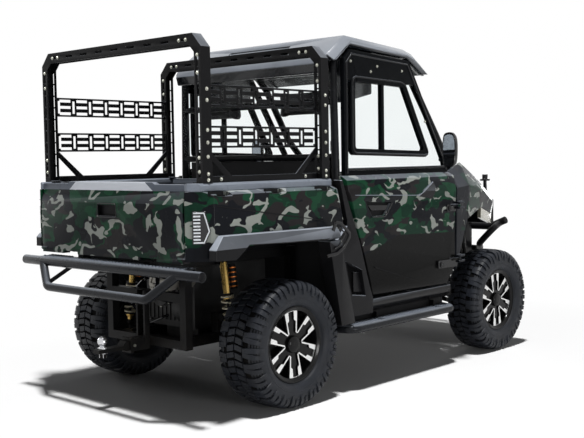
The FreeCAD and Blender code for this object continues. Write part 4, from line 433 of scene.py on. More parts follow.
class Effects:
    """The shader node groups that several finishes share."""

    def __init__(self) -> None:
        """Builds every group once."""
        self.grain = self._grain()
        self.wear = self._wear()
        self.top_highlight = self._settled()
        self.camouflage = self._camouflage()
        self.vinyl = self._vinyl()

    @staticmethod
    def _grain() -> bpy.types.NodeTree:
        """Moulded or sprayed skin: fine cells for the bump and slow noise for the gloss."""
        s, given, out = group("Skin grain", {"Scale": (FLOAT, 900.0), "Rough Low": (FLOAT, 0.4),
                                             "Rough High": (FLOAT, 0.55)},
                              {"Height": FLOAT, "Roughness": FLOAT, "Shade": FLOAT})
        place = s.place()
        cells = s.add("ShaderNodeTexVoronoi", {"Vector": place, "Scale": given["Scale"]}).outputs["Distance"]
        fine = s.noise(place, given["Scale"], 3.0).outputs["Fac"]
        slow = s.noise(place, 5.0, 4.0, 0.6).outputs["Fac"]
        shade = s.noise(place, 11.0, 5.0, 0.65).outputs["Fac"]
        height = s.maths("ADD", s.maths("MULTIPLY", cells, 0.6), s.maths("MULTIPLY", fine, 0.6))
        s.feed(out, {"Height": height,
                     "Roughness": s.range(slow, 0.3, 0.7, given["Rough Low"], given["Rough High"]),
                     "Shade": s.range(shade, 0.3, 0.7, 0.0, 1.0)})
        return s.tree

    @staticmethod
    def _wear() -> bpy.types.NodeTree:
        """Road dust that gathers low down and in slow patches, mixed over a colour."""
        s, given, out = group("Road dust", {"Color": (COLOUR, colour(0, 0, 0)),
                                            "Dust": (COLOUR, colour(112, 104, 92)),
                                            "Amount": (FLOAT, 0.15), "Top": (FLOAT, 0.7)}, {"Color": COLOUR})
        place = s.place()
        low = s.range(s.axes(place)[2], 0.0, given["Top"], 1.0, 0.0)
        patches = s.range(s.noise(place, 9.0, 6.0, 0.65).outputs["Fac"], 0.38, 0.7, 0.0, 1.0)
        mask = s.maths("MULTIPLY", s.maths("MULTIPLY", low, patches), given["Amount"])
        s.feed(out, {"Color": s.blend(mask, given["Color"], given["Dust"])})
        return s.tree

    @staticmethod
    def _settled() -> bpy.types.NodeTree:
        """Painted highlight: a pale bluish colour mixed onto faces that look upward, by the surface's own
        normal, with a slow patchy strength.
        """
        s, given, out = group("Settled film", {"Color": (COLOUR, colour(0, 0, 0)),
                                               "Film": (COLOUR, colour(186, 193, 204)),
                                               "Amount": (FLOAT, 0.5), "Level": (FLOAT, 0.55)},
                              {"Color": COLOUR})
        coord = s.add("ShaderNodeTexCoord").outputs
        rise = s.axes(coord["Normal"])[2]
        up = s.range(rise, s.maths("SUBTRACT", given["Level"], 0.45), given["Level"], 0.0, 1.0)
        patches = s.range(s.noise(coord["Object"], 6.0, 3.0).outputs["Fac"], 0.3, 0.7, 0.78, 1.0)
        mask = s.maths("MULTIPLY", s.maths("MULTIPLY", up, patches), given["Amount"])
        s.feed(out, {"Color": s.blend(mask, given["Color"], given["Film"])})
        return s.tree

    @staticmethod
    def _camouflage() -> bpy.types.NodeTree:
        """Woodland pattern: brown and black patches on green, with pale branching flecks over them.

        Each patch is where a warped noise passes a level, and a fleck is where another lies in a narrow band.
        """
        s, given, out = group("Woodland pattern", {"Scale": (FLOAT, 7.0), "Shift": (FLOAT, 0.0)},
                              {"Color": COLOUR})
        shift = s.add("ShaderNodeCombineXYZ", dict.fromkeys(range(3), given["Shift"])).outputs[0]
        moved = s.vectors("ADD", s.place(), shift)
        stretched = s.add("ShaderNodeMapping", {"Vector": moved, "Scale": (0.8, 0.8, 1.25)}).outputs[0]
        swing = s.vectors("SUBTRACT", s.noise(stretched, given["Scale"]).outputs["Color"], (0.5, 0.5, 0.5))
        bent = s.vectors("MULTIPLY_ADD", swing, swing, stretched)

        def field(away: float, times: float, detail: float = 1.0) -> bpy.types.NodeSocket:
            """A noise field of its own, shifted and scaled."""
            spot = s.vectors("ADD", bent, (away, away * 0.7, away * 1.3))
            return s.noise(spot, s.maths("MULTIPLY", given["Scale"], times), detail, 0.45).outputs["Fac"]

        light = s.maths("GREATER_THAN", field(1.3, 1.3), 0.56)
        brown = s.maths("GREATER_THAN", field(3.1, 1.0), 0.59)
        black = s.maths("GREATER_THAN", field(8.7, 1.05), 0.535)
        ridge = s.maths("ABSOLUTE", s.maths("SUBTRACT", field(5.9, 1.25, 0.0), 0.5))
        fleck = s.maths("LESS_THAN", ridge, s.range(field(12.4, 1.5), 0.49, 0.61, 0.0, 0.08))
        pale = s.maths("MAXIMUM", fleck, s.maths("GREATER_THAN", field(15.2, 1.7), 0.675))
        tint = colour(15, 46, 33)
        for mask, over in ((light, (21, 63, 42)), (brown, (34, 32, 33)), (black, (17, 19, 24)),
                           (pale, (143, 147, 141))):
            tint = s.blend(mask, tint, colour(*over))
        s.feed(out, {"Color": tint})
        return s.tree

    @staticmethod
    def _vinyl() -> bpy.types.NodeTree:
        """Seat vinyl: soft polygon cells with a fine crease between them."""
        s, given, out = group("Vinyl grain", {"Scale": (FLOAT, 420.0)}, {"Height": FLOAT, "Roughness": FLOAT})
        place = s.place()
        cells = s.add("ShaderNodeTexVoronoi", {"Vector": place, "Scale": given["Scale"]},
                      feature="DISTANCE_TO_EDGE").outputs["Distance"]
        gloss = s.noise(place, 14.0, 4.0).outputs["Fac"]
        s.feed(out, {"Height": s.range(cells, 0.0, 0.12, 0.0, 1.0),
                     "Roughness": s.range(gloss, 0.3, 0.7, 0.42, 0.6)})
        return s.tree


@dataclass(frozen=True)
class Finish:
    """One plain finish: two tones in screen values, with grain, gloss, dust and wear of its own, and a
    painted highlight on upward faces.
    """

    name: str
    base: tuple = (0, 0, 0)
    second: tuple = (0, 0, 0)
    rough_low: float = 0.4
    rough_high: float = 0.55
    metallic: float = 0.0
    coat: float = 0.0
    coat_rough: float = 0.1
    specular: float = 0.5
    grain: float = 900.0
    bump: float = 0.0002
    dust: float = 0.0
    dust_top: float = 0.7
    # the next two fields set the painted highlight on upward faces: its amount and the rise of the normal
    # where it is full
    film: float = 0.0
    highlight_level: float = 0.55

    def shader(self) -> tuple[bpy.types.Material, Sheet, bpy.types.Node]:
        """Starts the material with its own shader and output.

        Returns:
            The material, a helper for its tree, and the shader.
        """
        material = bpy.data.materials.new(self.name)
        material.use_nodes = True
        material.node_tree.nodes.clear()
        s = Sheet(material.node_tree)
        shader = s.add("ShaderNodeBsdfPrincipled", {
            "Metallic": self.metallic, "Coat Weight": self.coat, "Coat Roughness": self.coat_rough,
            "Specular IOR Level": self.specular})
        s.add("ShaderNodeOutputMaterial", {0: shader.outputs[0]})
        return material, s, shader

    def tones(self, s: Sheet, factor: bpy.types.NodeSocket) -> bpy.types.NodeSocket:
        """The two tones mixed by a factor."""
        return s.blend(factor, colour(*self.base), colour(*self.second))

    def colour_of(self, s: Sheet, effects: Effects, shade: bpy.types.NodeSocket) -> bpy.types.NodeSocket:
        """The colour before dust: the two tones mixed by the slow shade."""
        return self.tones(s, shade)

    def build(self, effects: Effects) -> bpy.types.Material:
        """Makes the material.

        Args:
            effects: the shared groups.

        Returns:
            The material.
        """
        material, s, shader = self.shader()
        grain = s.add("ShaderNodeGroup", {"Scale": self.grain, "Rough Low": self.rough_low,
                                          "Rough High": self.rough_high}, node_tree=effects.grain)
        tint = self.colour_of(s, effects, grain.outputs["Shade"])
        # mixes in the painted highlight on upward faces
        if self.film:
            tint = s.add("ShaderNodeGroup", {"Color": tint, "Amount": self.film, "Level": self.highlight_level},
                         node_tree=effects.top_highlight).outputs["Color"]
        dust = s.add("ShaderNodeGroup", {"Color": tint, "Amount": self.dust, "Top": self.dust_top},
                     node_tree=effects.wear)
        bump = s.add("ShaderNodeBump", {"Strength": 1.0, "Distance": self.bump,
                                        "Height": grain.outputs["Height"]})
        s.feed(shader, {"Base Color": dust.outputs["Color"], "Roughness": grain.outputs["Roughness"],
                        "Normal": bump.outputs[0]})
        return material


@dataclass(frozen=True)
class FilmFinish(Finish):
    """Plastic under a patterned film, with a plain colour below a line and a plain cap above a level.

    The split is the lower of two straight lines in x and z, each a slope and a height at x = 0. What lies
    behind the lesser of two lines, each a slope and a reach at z = 0, is plain too. The middle of the cap,
    where the distance from the middle is under a half width that narrows as the height grows, takes a painted
    highlight.
    """

    rough_low: float = 0.22
    rough_high: float = 0.3
    coat: float = 0.03
    specular: float = 0.06
    grain: float = 500.0
    bump: float = 0.00004
    dust: float = 0.03
    # the pattern takes a painted highlight on upward faces
    film: float = 0.3
    highlight_level: float = 0.6
    scale: float = 7.0
    shift: float = 0.0
    split: tuple = ()
    plain: tuple = (0, 0, 0)
    behind: tuple = ()
    cap_level: float = 0.0
    crest_half: float = 0.0
    crest_slope: float = 0.0
    cap: tuple = (0, 0, 0)
    crest_highlight: tuple = (0, 0, 0)

    def colour_of(self, s: Sheet, effects: Effects, shade: bpy.types.NodeSocket) -> bpy.types.NodeSocket:
        """The pattern, and the plain colours where there are any."""
        tint = s.add("ShaderNodeGroup", {"Scale": self.scale, "Shift": self.shift},
                     node_tree=effects.camouflage).outputs["Color"]
        x, y, z = s.axes(s.place())

        def lesser(along: bpy.types.NodeSocket, lines: tuple) -> bpy.types.NodeSocket:
            """The lesser of two straight lines at each point."""
            heights = (s.maths("MULTIPLY_ADD", along, slope, start) for slope, start in lines)
            return s.maths("MINIMUM", *heights)

        if self.split:
            above = s.maths("GREATER_THAN", z, lesser(x, self.split))
            tint = s.blend(above, colour(*self.plain), tint)
        if self.behind:
            near = s.maths("LESS_THAN", x, lesser(z, self.behind))
            tint = s.blend(near, tint, colour(*self.plain))
        if self.cap_level:
            rise = s.maths("SUBTRACT", z, self.cap_level)
            half = s.maths("MULTIPLY_ADD", rise, -self.crest_slope, self.crest_half)
            middle = s.maths("LESS_THAN", s.maths("ABSOLUTE", y), half)
            # above the cap level the grey cap, with a painted highlight colour over its middle
            tint = s.blend(s.maths("GREATER_THAN", rise, 0.0), tint,
                           s.blend(middle, colour(*self.cap), colour(*self.crest_highlight)))
        return tint


@dataclass(frozen=True)
class VinylFinish(Finish):
    """Black seat vinyl with its own cell grain."""

    def build(self, effects: Effects) -> bpy.types.Material:
        """Makes the material with the vinyl group."""
        material, s, shader = self.shader()
        skin = s.add("ShaderNodeGroup", {"Scale": self.grain}, node_tree=effects.vinyl)
        bump = s.add("ShaderNodeBump", {"Strength": 0.7, "Distance": self.bump,
                                        "Height": skin.outputs["Height"]})
        tone = s.noise(s.place(), 8.0, 4.0).outputs["Fac"]
        s.feed(shader, {"Base Color": self.tones(s, tone), "Roughness": skin.outputs["Roughness"],
                        "Normal": bump.outputs[0]})
        return material


@dataclass(frozen=True)
class GlassFinish(Finish):
    """Clear sheet with plain transmission, its two tones in linear light."""

    def build(self, effects: Effects) -> bpy.types.Material:
        """Makes the glass."""
        material, s, shader = self.shader()
        haze = s.noise(s.place(), 3.0, 3.0).outputs["Fac"]
        s.feed(shader, {"Transmission Weight": 1.0, "IOR": 1.08,
                        "Base Color": s.blend(haze, self.base, self.second),
                        "Roughness": s.range(haze, 0.3, 0.7, self.rough_low, self.rough_high)})
        return material


class Palette:
    """Every finish on the vehicle, built once and looked up by the record's slot or by its own name."""

    def __init__(self) -> None:
        """Builds the finishes."""
        effects = Effects()
        # film in these finishes is the amount of painted highlight on their upward faces
        finishes = {
            "tyre": Finish("Tyre rubber", (22, 25, 30), (33, 36, 43), 0.38, 0.58, specular=0.2, grain=700.0,
                           bump=0.0003, dust=0.05),
            # near-black groove finish: painted shade on the tyres' tread floor and on the intake pockets'
            # floors
            "groove": Finish("Groove rubber", (7, 7, 8), (12, 12, 13), 0.7, 0.85, specular=0.04, dust=0.05),
            "rim": Finish("Rim gloss black", (8, 8, 9), (12, 12, 13), 0.14, 0.24, coat=0.1, specular=0.12,
                          bump=0.00002, dust=0.03),
            "rim_face": Finish("Machined rim face", (222, 222, 221), (236, 236, 235), 0.24, 0.34,
                               metallic=0.85, bump=0.00002),
            "frame_steel": Finish("Chassis coat", (11, 11, 12), (17, 17, 18), specular=0.1, dust=0.08),
            "cage_steel": Finish("Cage coat", (18, 19, 21), (25, 26, 29), 0.24, 0.32, specular=0.1,
                                 grain=1400.0, bump=0.0001),
            "body_camo": FilmFinish("Camouflage film"),
            "hood_camo": FilmFinish("Camouflage film on top", film=0.06, shift=2.3),
            # the gate's crest colour is a painted highlight on the middle of the grey cap
            "gate_camo": FilmFinish("Camouflage film under a grey cap", shift=4.1, cap_level=1.1123,
                                    crest_half=0.345, crest_slope=1.4, cap=(95, 101, 111),
                                    crest_highlight=(212, 216, 224)),
            "door_camo": FilmFinish("Camouflage film over charcoal", shift=1.7, plain=(18, 18, 18),
                                    split=((0.2891, 0.8102), (-0.0338, 0.8164))),
            "fender_camo": FilmFinish("Camouflage film ahead of charcoal", film=0.12, shift=2.9,
                                      split=((0.0, 0.8), (0.0, 0.8)), plain=(30, 32, 37),
                                      behind=((-0.755, 1.5597), (0.515, 0.2414))),
            "body_dark": Finish("Charcoal plastic", (22, 22, 24), (27, 27, 29), 0.2, 0.28, specular=0.1,
                                grain=1600.0, bump=0.00012, dust=0.05, film=0.76),
            "roof_plastic": Finish("Smooth roof plastic", (26, 29, 34), (32, 35, 40), 0.18, 0.26,
                                   specular=0.3, coat=0.3, coat_rough=0.06, bump=0.00002, film=0.5,
                                   highlight_level=0.4),
            "trim": Finish("Black grained plastic", (13, 13, 15), (20, 20, 22), 0.4, 0.52, specular=0.08,
                           dust=0.03),
            "gloss_trim": Finish("Polished black plastic", (10, 10, 12), (14, 14, 17), 0.14, 0.22,
                                 specular=0.25, coat=0.08, bump=0.00002),
            "door_frame": Finish("Satin black frame", (9, 11, 14), (13, 15, 18), 0.24, 0.32, specular=0.03),
            "glass": GlassFinish("Clear glass", (0.93, 0.95, 0.95, 1), (0.95, 0.97, 0.97, 1), 0.0, 0.002),
            "rack_steel": Finish("Black powder coat", (11, 11, 13), (17, 17, 19), 0.28, 0.4, specular=0.1,
                                 grain=1500.0, bump=0.00015, film=0.34, highlight_level=0.8),
            "bumper_steel": Finish("Grey powder coat", (19, 21, 25), (25, 27, 31), 0.22, 0.32,
                                   specular=0.15, grain=1500.0, bump=0.00012, dust=0.03, film=0.5,
                                   highlight_level=1.05),
            # window frame steel, its film a painted highlight along its tops
            "film_steel": Finish("Window frame coat", (11, 13, 16), (15, 17, 21), 0.2, 0.3, specular=0.2,
                                 grain=1500.0, bump=0.00008, film=0.45, highlight_level=1.0),
            "cap": Finish("Grey cap plastic", (120, 127, 138), (130, 137, 148), 0.26, 0.36, specular=0.3,
                          grain=1500.0, bump=0.0001),
            "seat_cover": VinylFinish("Seat vinyl", (22, 22, 24), (32, 32, 34), specular=0.3, grain=420.0,
                                      bump=0.0003),
            "tail_lens": Finish("Lamp glaze", (12, 12, 16), (17, 17, 21), 0.08, 0.14, coat=0.5,
                                coat_rough=0.03, specular=0.3, bump=0.00001),
            "lamp_white": Finish("Lamp light guide", (216, 221, 226), (226, 230, 234), 0.2, 0.3, coat=0.4,
                                 bump=0.00001),
            "front_lens": Finish("Lamp reflector", (150, 147, 132), (186, 182, 164), 0.16, 0.3,
                                 metallic=0.5, coat=0.5, grain=180.0),
            "shock_metal": Finish("Gold anodised metal", (176, 144, 74), (196, 164, 96), 0.22, 0.34,
                                  metallic=0.8, bump=0.00003, dust=0.1, dust_top=1.2),
            "spring": Finish("Cream spring paint", (206, 198, 172), (220, 212, 188), 0.3, 0.4, coat=0.3,
                             bump=0.00003, dust=0.1),
            "reservoir": Finish("Copper anodised metal", (150, 82, 36), (176, 104, 50), 0.25, 0.35,
                                metallic=0.8, bump=0.00003, dust=0.05),
            "cast_metal": Finish("Dark casting", (24, 24, 25), (38, 38, 38), metallic=0.4, grain=500.0,
                                 bump=0.0004, dust=0.1),
            "hitch_steel": Finish("Plated steel", (190, 191, 194), (216, 217, 220), 0.14, 0.26,
                                  metallic=0.95, bump=0.00004, dust=0.02),
            "silencer_steel": Finish("Silencer steel", (118, 116, 110), (150, 147, 140), 0.3, 0.42,
                                     metallic=0.7, bump=0.0001, dust=0.2),
            "bolt": Finish("Zinc bolt", (166, 167, 156), (196, 197, 186), 0.26, 0.38, metallic=0.8,
                           bump=0.00003),
            "cabin": Finish("Cabin plastic", (15, 15, 17), (22, 22, 24), 0.5, 0.65, specular=0.2),
            "mirror": Finish("Mirror glass", (128, 134, 142), (140, 146, 154), 0.02, 0.04, metallic=1.0,
                             bump=0.0),
        }
        shared = {"body_camo": ("hood_camo", "gate_camo", "door_camo", "fender_camo"), "tyre": ("groove",),
                  "rim": ("rim_face",), "body_dark": ("cap",), "bumper_steel": ("film_steel",),
                  "hitch_steel": ("silencer_steel", "bolt"), "trim": ("gloss_trim", "cabin"),
                  "tail_lens": ("lamp_white",), "front_lens": ("mirror",),
                  "shock_metal": ("spring", "reservoir")}
        self.materials = {key: finish.build(effects) for key, finish in finishes.items()}
        self.slots = {key: slot for slot, keys in shared.items() for key in keys}

    def __getitem__(self, key: str) -> bpy.types.Material:
        """The material of that name."""
        return self.materials[key]

    def slot_of(self, key: str) -> str:
        """The record's slot that a finish belongs to."""
        return self.slots.get(key, key)


# Pieces
class Workshop:
    """Turns patches and CAD nodes into finished pieces that ride on their bodies."""

    weld: float = 1e-6
    node_weld: float = 2e-6

    def __init__(self, palette: Palette) -> None:
        """Keeps the palette and looks up which body carries each node."""
        self.palette = palette
        bodies = frame["record"]["behaviour"]["bodies"]
        self.body_of = {node: body for body, nodes in bodies.items() for node in nodes}

    def finish_piece(self, obj: bpy.types.Object, key: str, body: str, nodes: Sequence[str]) -> None:
        """Gives a piece its material, its body and the nodes it stands for.

        Args:
            obj: the piece.
            key: its finish.
            body: the body it rides on.
            nodes: the CAD nodes it replaces.
        """
        if not obj.data.materials:
            obj.data.materials.append(self.palette[key])
        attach(obj, body)
        self.palette.slot_of(key)
        if nodes:
            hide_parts(*nodes)

    def piece(self, name: str, patch: Patch, key: str, body: str, nodes: Sequence[str] = (),
              bevel: float = 0.0, smooth: float = 35.0, closed: bool = True) -> None:
        """Makes an object from a patch in millimetres.

        Args:
            name: the object's name.
            patch: its surface.
            key: its finish.
            body: the body it rides on.
            nodes: the CAD nodes it replaces.
            bevel: the width of its rounded edges in millimetres, or 0.
            smooth: the angle in degrees past which an edge stays sharp.
            closed: whether its faces are turned outwards again.
        """
        self._dressed(name, mesh_of(name, patch, self.weld, closed), key, body, nodes, bevel, smooth)

    def _dressed(self, name: str, mesh: bpy.types.Mesh, key: str, body: str, nodes: Sequence[str],
                 bevel: float, smooth: float) -> None:
        """Sets the shading, the rounded edges and the rest of a piece from its mesh."""
        mesh.shade_smooth()
        mesh.set_sharp_from_angle(angle=math.radians(smooth))
        obj = linked(name, mesh)
        if bevel:
            edge = obj.modifiers.new("rounded edges", "BEVEL")
            edge.width = bevel * MM
            edge.segments = 2
            edge.limit_method = "ANGLE"
            edge.angle_limit = math.radians(smooth)
            edge.use_clamp_overlap = False
            edge.harden_normals = True
            edge.miter_outer = "MITER_ARC"
        self.finish_piece(obj, key, body, nodes)

    def softened(self, node: str, key: str, bevel: float = 2.0, suffix: str = "_dressed",
                 keep: Optional[Callable] = None) -> None:
        """Stands a copy of a CAD node in for it, merged and with its edges rounded.

        Args:
            node: the CAD node.
            key: its finish.
            bevel: the width of the rounded edges in millimetres.
            suffix: what the copy's name adds to the node's.
            keep: says for the middle of a face whether the copy has it, or None for the whole node.
        """
        mesh = frame["nodes"][node].data.copy()
        mesh.materials.clear()
        bm = bmesh.new()
        bm.from_mesh(mesh)
        bmesh.ops.remove_doubles(bm, verts=bm.verts, dist=self.node_weld)
        if keep:
            spare = [face for face in bm.faces if not keep(face.calc_center_median())]
            bmesh.ops.delete(bm, geom=spare, context="FACES")
        bm.to_mesh(mesh)
        bm.free()
        self._dressed(node + suffix, mesh, key, self.body_of[node], [node], bevel, 32.0)

    def repaint(self, node: str, key: str) -> None:
        """Gives a CAD node a better material in its own slots."""
        obj = frame["nodes"][node]
        if not obj.material_slots:
            obj.data.materials.append(None)
        for slot in obj.material_slots:
            slot.material = self.palette[key]


# Wheels
@dataclass
class Wheel:
    """One wheel: a knobbly tyre and a rim with six split spokes, turned about its own axle."""

    name: str
    side: Side
    axle_x: float
    track: float
    width: float
    lug_count: int = 26
    spoke_count: int = 6
    spoke_phase: float = 5.0
    rim_inset: float = 28.0
    lip_radius: float = 195.0
    face_inset: float = 12.0
    face_rise: float = 9.0
    spoke_root: float = 60.0
    spoke_reach: float = 171.5
    steps: int = 104

    def __post_init__(self) -> None:
        """Works out the half widths and the tyre's section."""
        self.half = self.width / 2
        self.rim_half = self.half - self.rim_inset
        h = self.half
        self.section = smooth_line([
            (180, self.rim_half - 9), (190, self.rim_half - 7), (199, 0.80 * h), (208, 0.885 * h),
            (226, 0.95 * h), (250, 0.972 * h), (276, 0.95 * h), (294, 0.90 * h), (305, 0.81 * h),
            (311, 0.66 * h), (313.5, 0.40 * h), (314.5, 0.0)], 120)
        step = np.gradient(self.section, axis=0)
        step /= np.linalg.norm(step, axis=1, keepdims=True)
        self.outward = np.stack([-step[:, 1], step[:, 0]], axis=-1)
        self.outward *= np.sign(self.outward[len(step) // 2, 1]) or 1.0

    def _on_section(self, share: Array, rise: Array) -> tuple[Array, Array]:
        """Radius and side of points that stand off the section by a rise, at shares of its length."""
        at = np.asarray(share) * (len(self.section) - 1)
        index = np.arange(len(self.section))
        base = [np.interp(at, index, self.section[:, k]) for k in (0, 1)]
        lean = [np.interp(at, index, self.outward[:, k]) for k in (0, 1)]
        return base[0] + lean[0] * rise, base[1] + lean[1] * rise

    def _strip(self, share: Array, middle: Array, half_width: Array, rise: Array) -> Patch:
        """One tread block as a strip along the section.

        Each station has six points: foot, edge and top on one flank, then the same on the other. A point's
        angle is its distance from the middle over the tyre's radius, and its height a share of the rise.
        """
        spread = np.array([-1.12, -1.04, -0.93, 0.93, 1.04, 1.12])
        lift = np.array([-0.25, 0.80, 1.0, 1.0, 0.80, -0.25])
        radius, side = self._on_section(share[:, None] + np.zeros(6), rise[:, None] * lift)
        angle = (middle[:, None] + half_width[:, None] * spread) / AXLE_HEIGHT
        points = np.stack([radius * np.cos(angle), side, radius * np.sin(angle)], axis=-1)
        return capped(points)

    def _rows(self, arc: float) -> list[Patch]:
        """One lug of each row on one half: two that hook down the wall and two in the tread's middle."""
        k = np.linspace(0.0, 1.0, 13)
        hook = np.interp(k, [0, 0.35, 0.6, 1.0], [-6.0, 0.0, 3.0, 9.0])
        wide = np.interp(k, [0, 0.45, 0.8, 1.0], [12.0, 13.6, 12.4, 9.0])
        rise = np.interp(k, [0, 0.5, 0.85, 1.0], [10.4, 11.0, 8.5, 3.5])
        rows = [self._strip(0.905 - k * (0.905 - foot), aside * arc * 0.372 + hook * bend, wide, rise)
                for foot, aside, bend in ((0.47, -0.5, -0.3), (0.53, 0.5, 1))]
        for low, high, shift, half_width in ((0.93, 0.985, 0.28, 15.0), (0.925, 0.99, 0.74, 13.0)):
            share = np.linspace(high + 0.006, low - 0.012, 5)
            middle = np.linspace(-5.0, 5.0, 5) + arc * shift
            rows.append(self._strip(share, middle, np.full(5, half_width), np.full(5, 10.4)))
        return rows

    def tyre(self) -> Patch:
        """The tyre: its turned section, its beads, and rows of lugs half a pitch apart on its two halves."""
        full = np.concatenate([self.section, self.section[-2::-1] * np.array([1.0, -1.0])])
        inner = np.array([[177.0, -self.rim_half + 12], [177.0, self.rim_half - 12]])
        parts = [turned_section(np.concatenate([full, inner, full[:1]]), self.steps)]
        pitch = 360.0 / self.lug_count
        angles = np.arange(self.lug_count) * pitch
        rows = self._rows(2 * np.pi * AXLE_HEIGHT / self.lug_count)
        beads = []
        for at in (0.235, 0.40):
            edge = self._on_section(np.array([at - 0.008, at, at + 0.008]), np.array([-0.5, 1.2, -0.5]))
            beads.append(turned_section(np.stack(edge, axis=-1), self.steps))
        for mirrored, lag in ((False, 0.0), (True, 0.5)):
            half = joined([spun(row, angles + lag * pitch) for row in rows] + beads)
            parts.append(half.mirrored() if mirrored else half)
        return joined(parts)

    def tread_shade_floor(self) -> Patch:
        """Painted shade between the lugs: a near-black belt just over the carcass from shoulder to shoulder.
        """
        belt = self._on_section(np.linspace(0.55, 1.0, 7), np.full(7, 0.35))
        return turned_section(np.stack(belt, axis=-1), self.steps).both_sides()

    def rim_shell(self) -> Patch:
        """The barrel with its lips and stepped well, a turned section with the wall's thickness."""
        h, lip = self.rim_half, self.lip_radius
        outer = [(lip, -h), (lip, -h + 7), (178, -h + 9), (176, -h + 30), (160, -h + 50), (160, h - 60),
                 (176, h - 34), (178, h - 9), (lip - 3, h - 7), (lip, h - 5), (lip, h - 2), (lip - 2, h),
                 (186, h), (181, h - 3), (172, h - 7), (169, h - 14), (166, h - 36), (150, h - 62),
                 (150, -h + 52), (168, -h + 30), (172, -h)]
        return turned_section(outer + outer[:1], 96)

    def _edge(self, sign: float) -> Array:
        """Corners of the machined strip along a spoke's edge: thin from the hub, then a wedge at the rim."""
        tip, out = math.radians(30.0 * sign), math.radians(15.5 * sign)
        start = self.spoke_root * np.array([math.cos(tip), math.sin(tip)])
        end = self.spoke_reach * np.array([math.cos(out), math.sin(out)])
        length = float(np.linalg.norm(end - start))
        along = (end - start) / length
        inward = np.array([along[1], -along[0]]) * sign
        stations = np.array([0.0, 0.53, 0.60, 1.0])
        widths = np.array([7.5, 7.5, 21.0, 26.0])
        outer = start + along * (stations * length)[:, None]
        inner = outer + inward * widths[:, None]
        inner[0] += along * 6.0
        inner[-1] *= self.spoke_reach / np.linalg.norm(inner[-1])
        return np.concatenate([outer, inner[::-1]])

    def spokes(self) -> tuple[Patch, Patch]:
        """The six spokes: the dark bodies, and the machined strips on them.

        Returns:
            The dark patch and the bright patch.
        """
        face = self.rim_half - self.face_inset
        floor = face - self.face_rise

        def ring(radius: float, low: float, high: float, steps: int) -> Array:
            """Points of an arc in the wheel's plane."""
            a = np.radians(np.linspace(low, high, steps))
            return radius * np.stack([np.cos(a), np.sin(a)], axis=-1)

        body = np.concatenate([ring(40, -30, 30, 7), ring(66, 30, 30, 1),
                               ring(self.spoke_reach, 15.8, -15.8, 9), ring(66, -30, -30, 1)])
        dark = [prism(body, 1, floor - 16, floor)]
        bright = []
        for sign in (1.0, -1.0):
            strip = self._edge(sign)
            dark.append(prism(strip, 1, floor - 1, face - 0.8))
            bright.append(prism(strip, 1, face - 0.8, face))
        rim_arc = np.concatenate([ring(171.3, 8, -8, 7), ring(167.8, -8, 8, 7)])
        bright.append(prism(rim_arc, 1, floor - 1, face - 1.0))
        turn = 90.0 + self.spoke_phase + np.arange(self.spoke_count) * 360.0 / self.spoke_count
        back = floor - 14
        cap = smooth_line([(0, face + 15), (22, face + 14.4), (36, face + 11), (43, face + 4),
                           (45, face - 8)], 22)
        cap = np.concatenate([cap, [[45, back], [ON_AXIS, back]]])
        cap[0, 0] = ON_AXIS
        hub = turned_section(cap, 48)
        pilot = turned_section([(ON_AXIS, back), (56, back), (60, floor - 46), (ON_AXIS, floor - 46)], 48)
        return joined([spun(joined(dark), turn), hub, pilot]), spun(joined(bright), turn)

    def brake(self) -> Patch:
        """A vented brake disc behind the spokes, with a ring of holes shown as shallow studs."""
        low = self.rim_half - 84
        section = rectangle(60, 118, low, low + 5)
        disc = turned_section(section + section[:1], 64)
        stud = prism(circle(4.0, 8), 1, low + 5, low + 5.8)
        turn = np.arange(18) * 20.0
        return joined([disc, spun(stud.moved((104, 0, 0)), turn), spun(stud.moved((88, 0, 0)), turn + 7.0)])

    def build(self, shop: Workshop) -> None:
        """Places the tyre and the rim's pieces on the wheel's body."""
        middle = np.array([self.axle_x, self.track / 2, AXLE_HEIGHT])
        dark, bright = self.spokes()
        parts = ((f"tyre_{self.name}_dressed", self.tyre(), "tyre", [f"tyre_{self.name}"], 0.0, 40.0),
                 # the tread floor is painted shade between the lugs
                 (f"tyre_{self.name}_floor", self.tread_shade_floor(), "groove", (), 0.0, 40.0),
                 (f"rim_{self.name}_barrel", self.rim_shell(), "rim", [f"rim_{self.name}"], 0.0, 30.0),
                 (f"rim_{self.name}_spokes", dark, "rim", (), 1.2, 35.0),
                 (f"rim_{self.name}_faces", bright, "rim_face", (), 0.4, 35.0),
                 (f"brake_{self.name}", self.brake(), "cast_metal", (), 0.0, 35.0))
        for name, patch, key, nodes, bevel, smooth in parts:
            patch = patch.moved(middle)
            if self.side is Side.RIGHT:
                patch = patch.mirrored()
            shop.piece(name, patch, key, f"wheel_{self.name}", nodes, bevel, smooth)
        log.info("wheel %s", self.name)


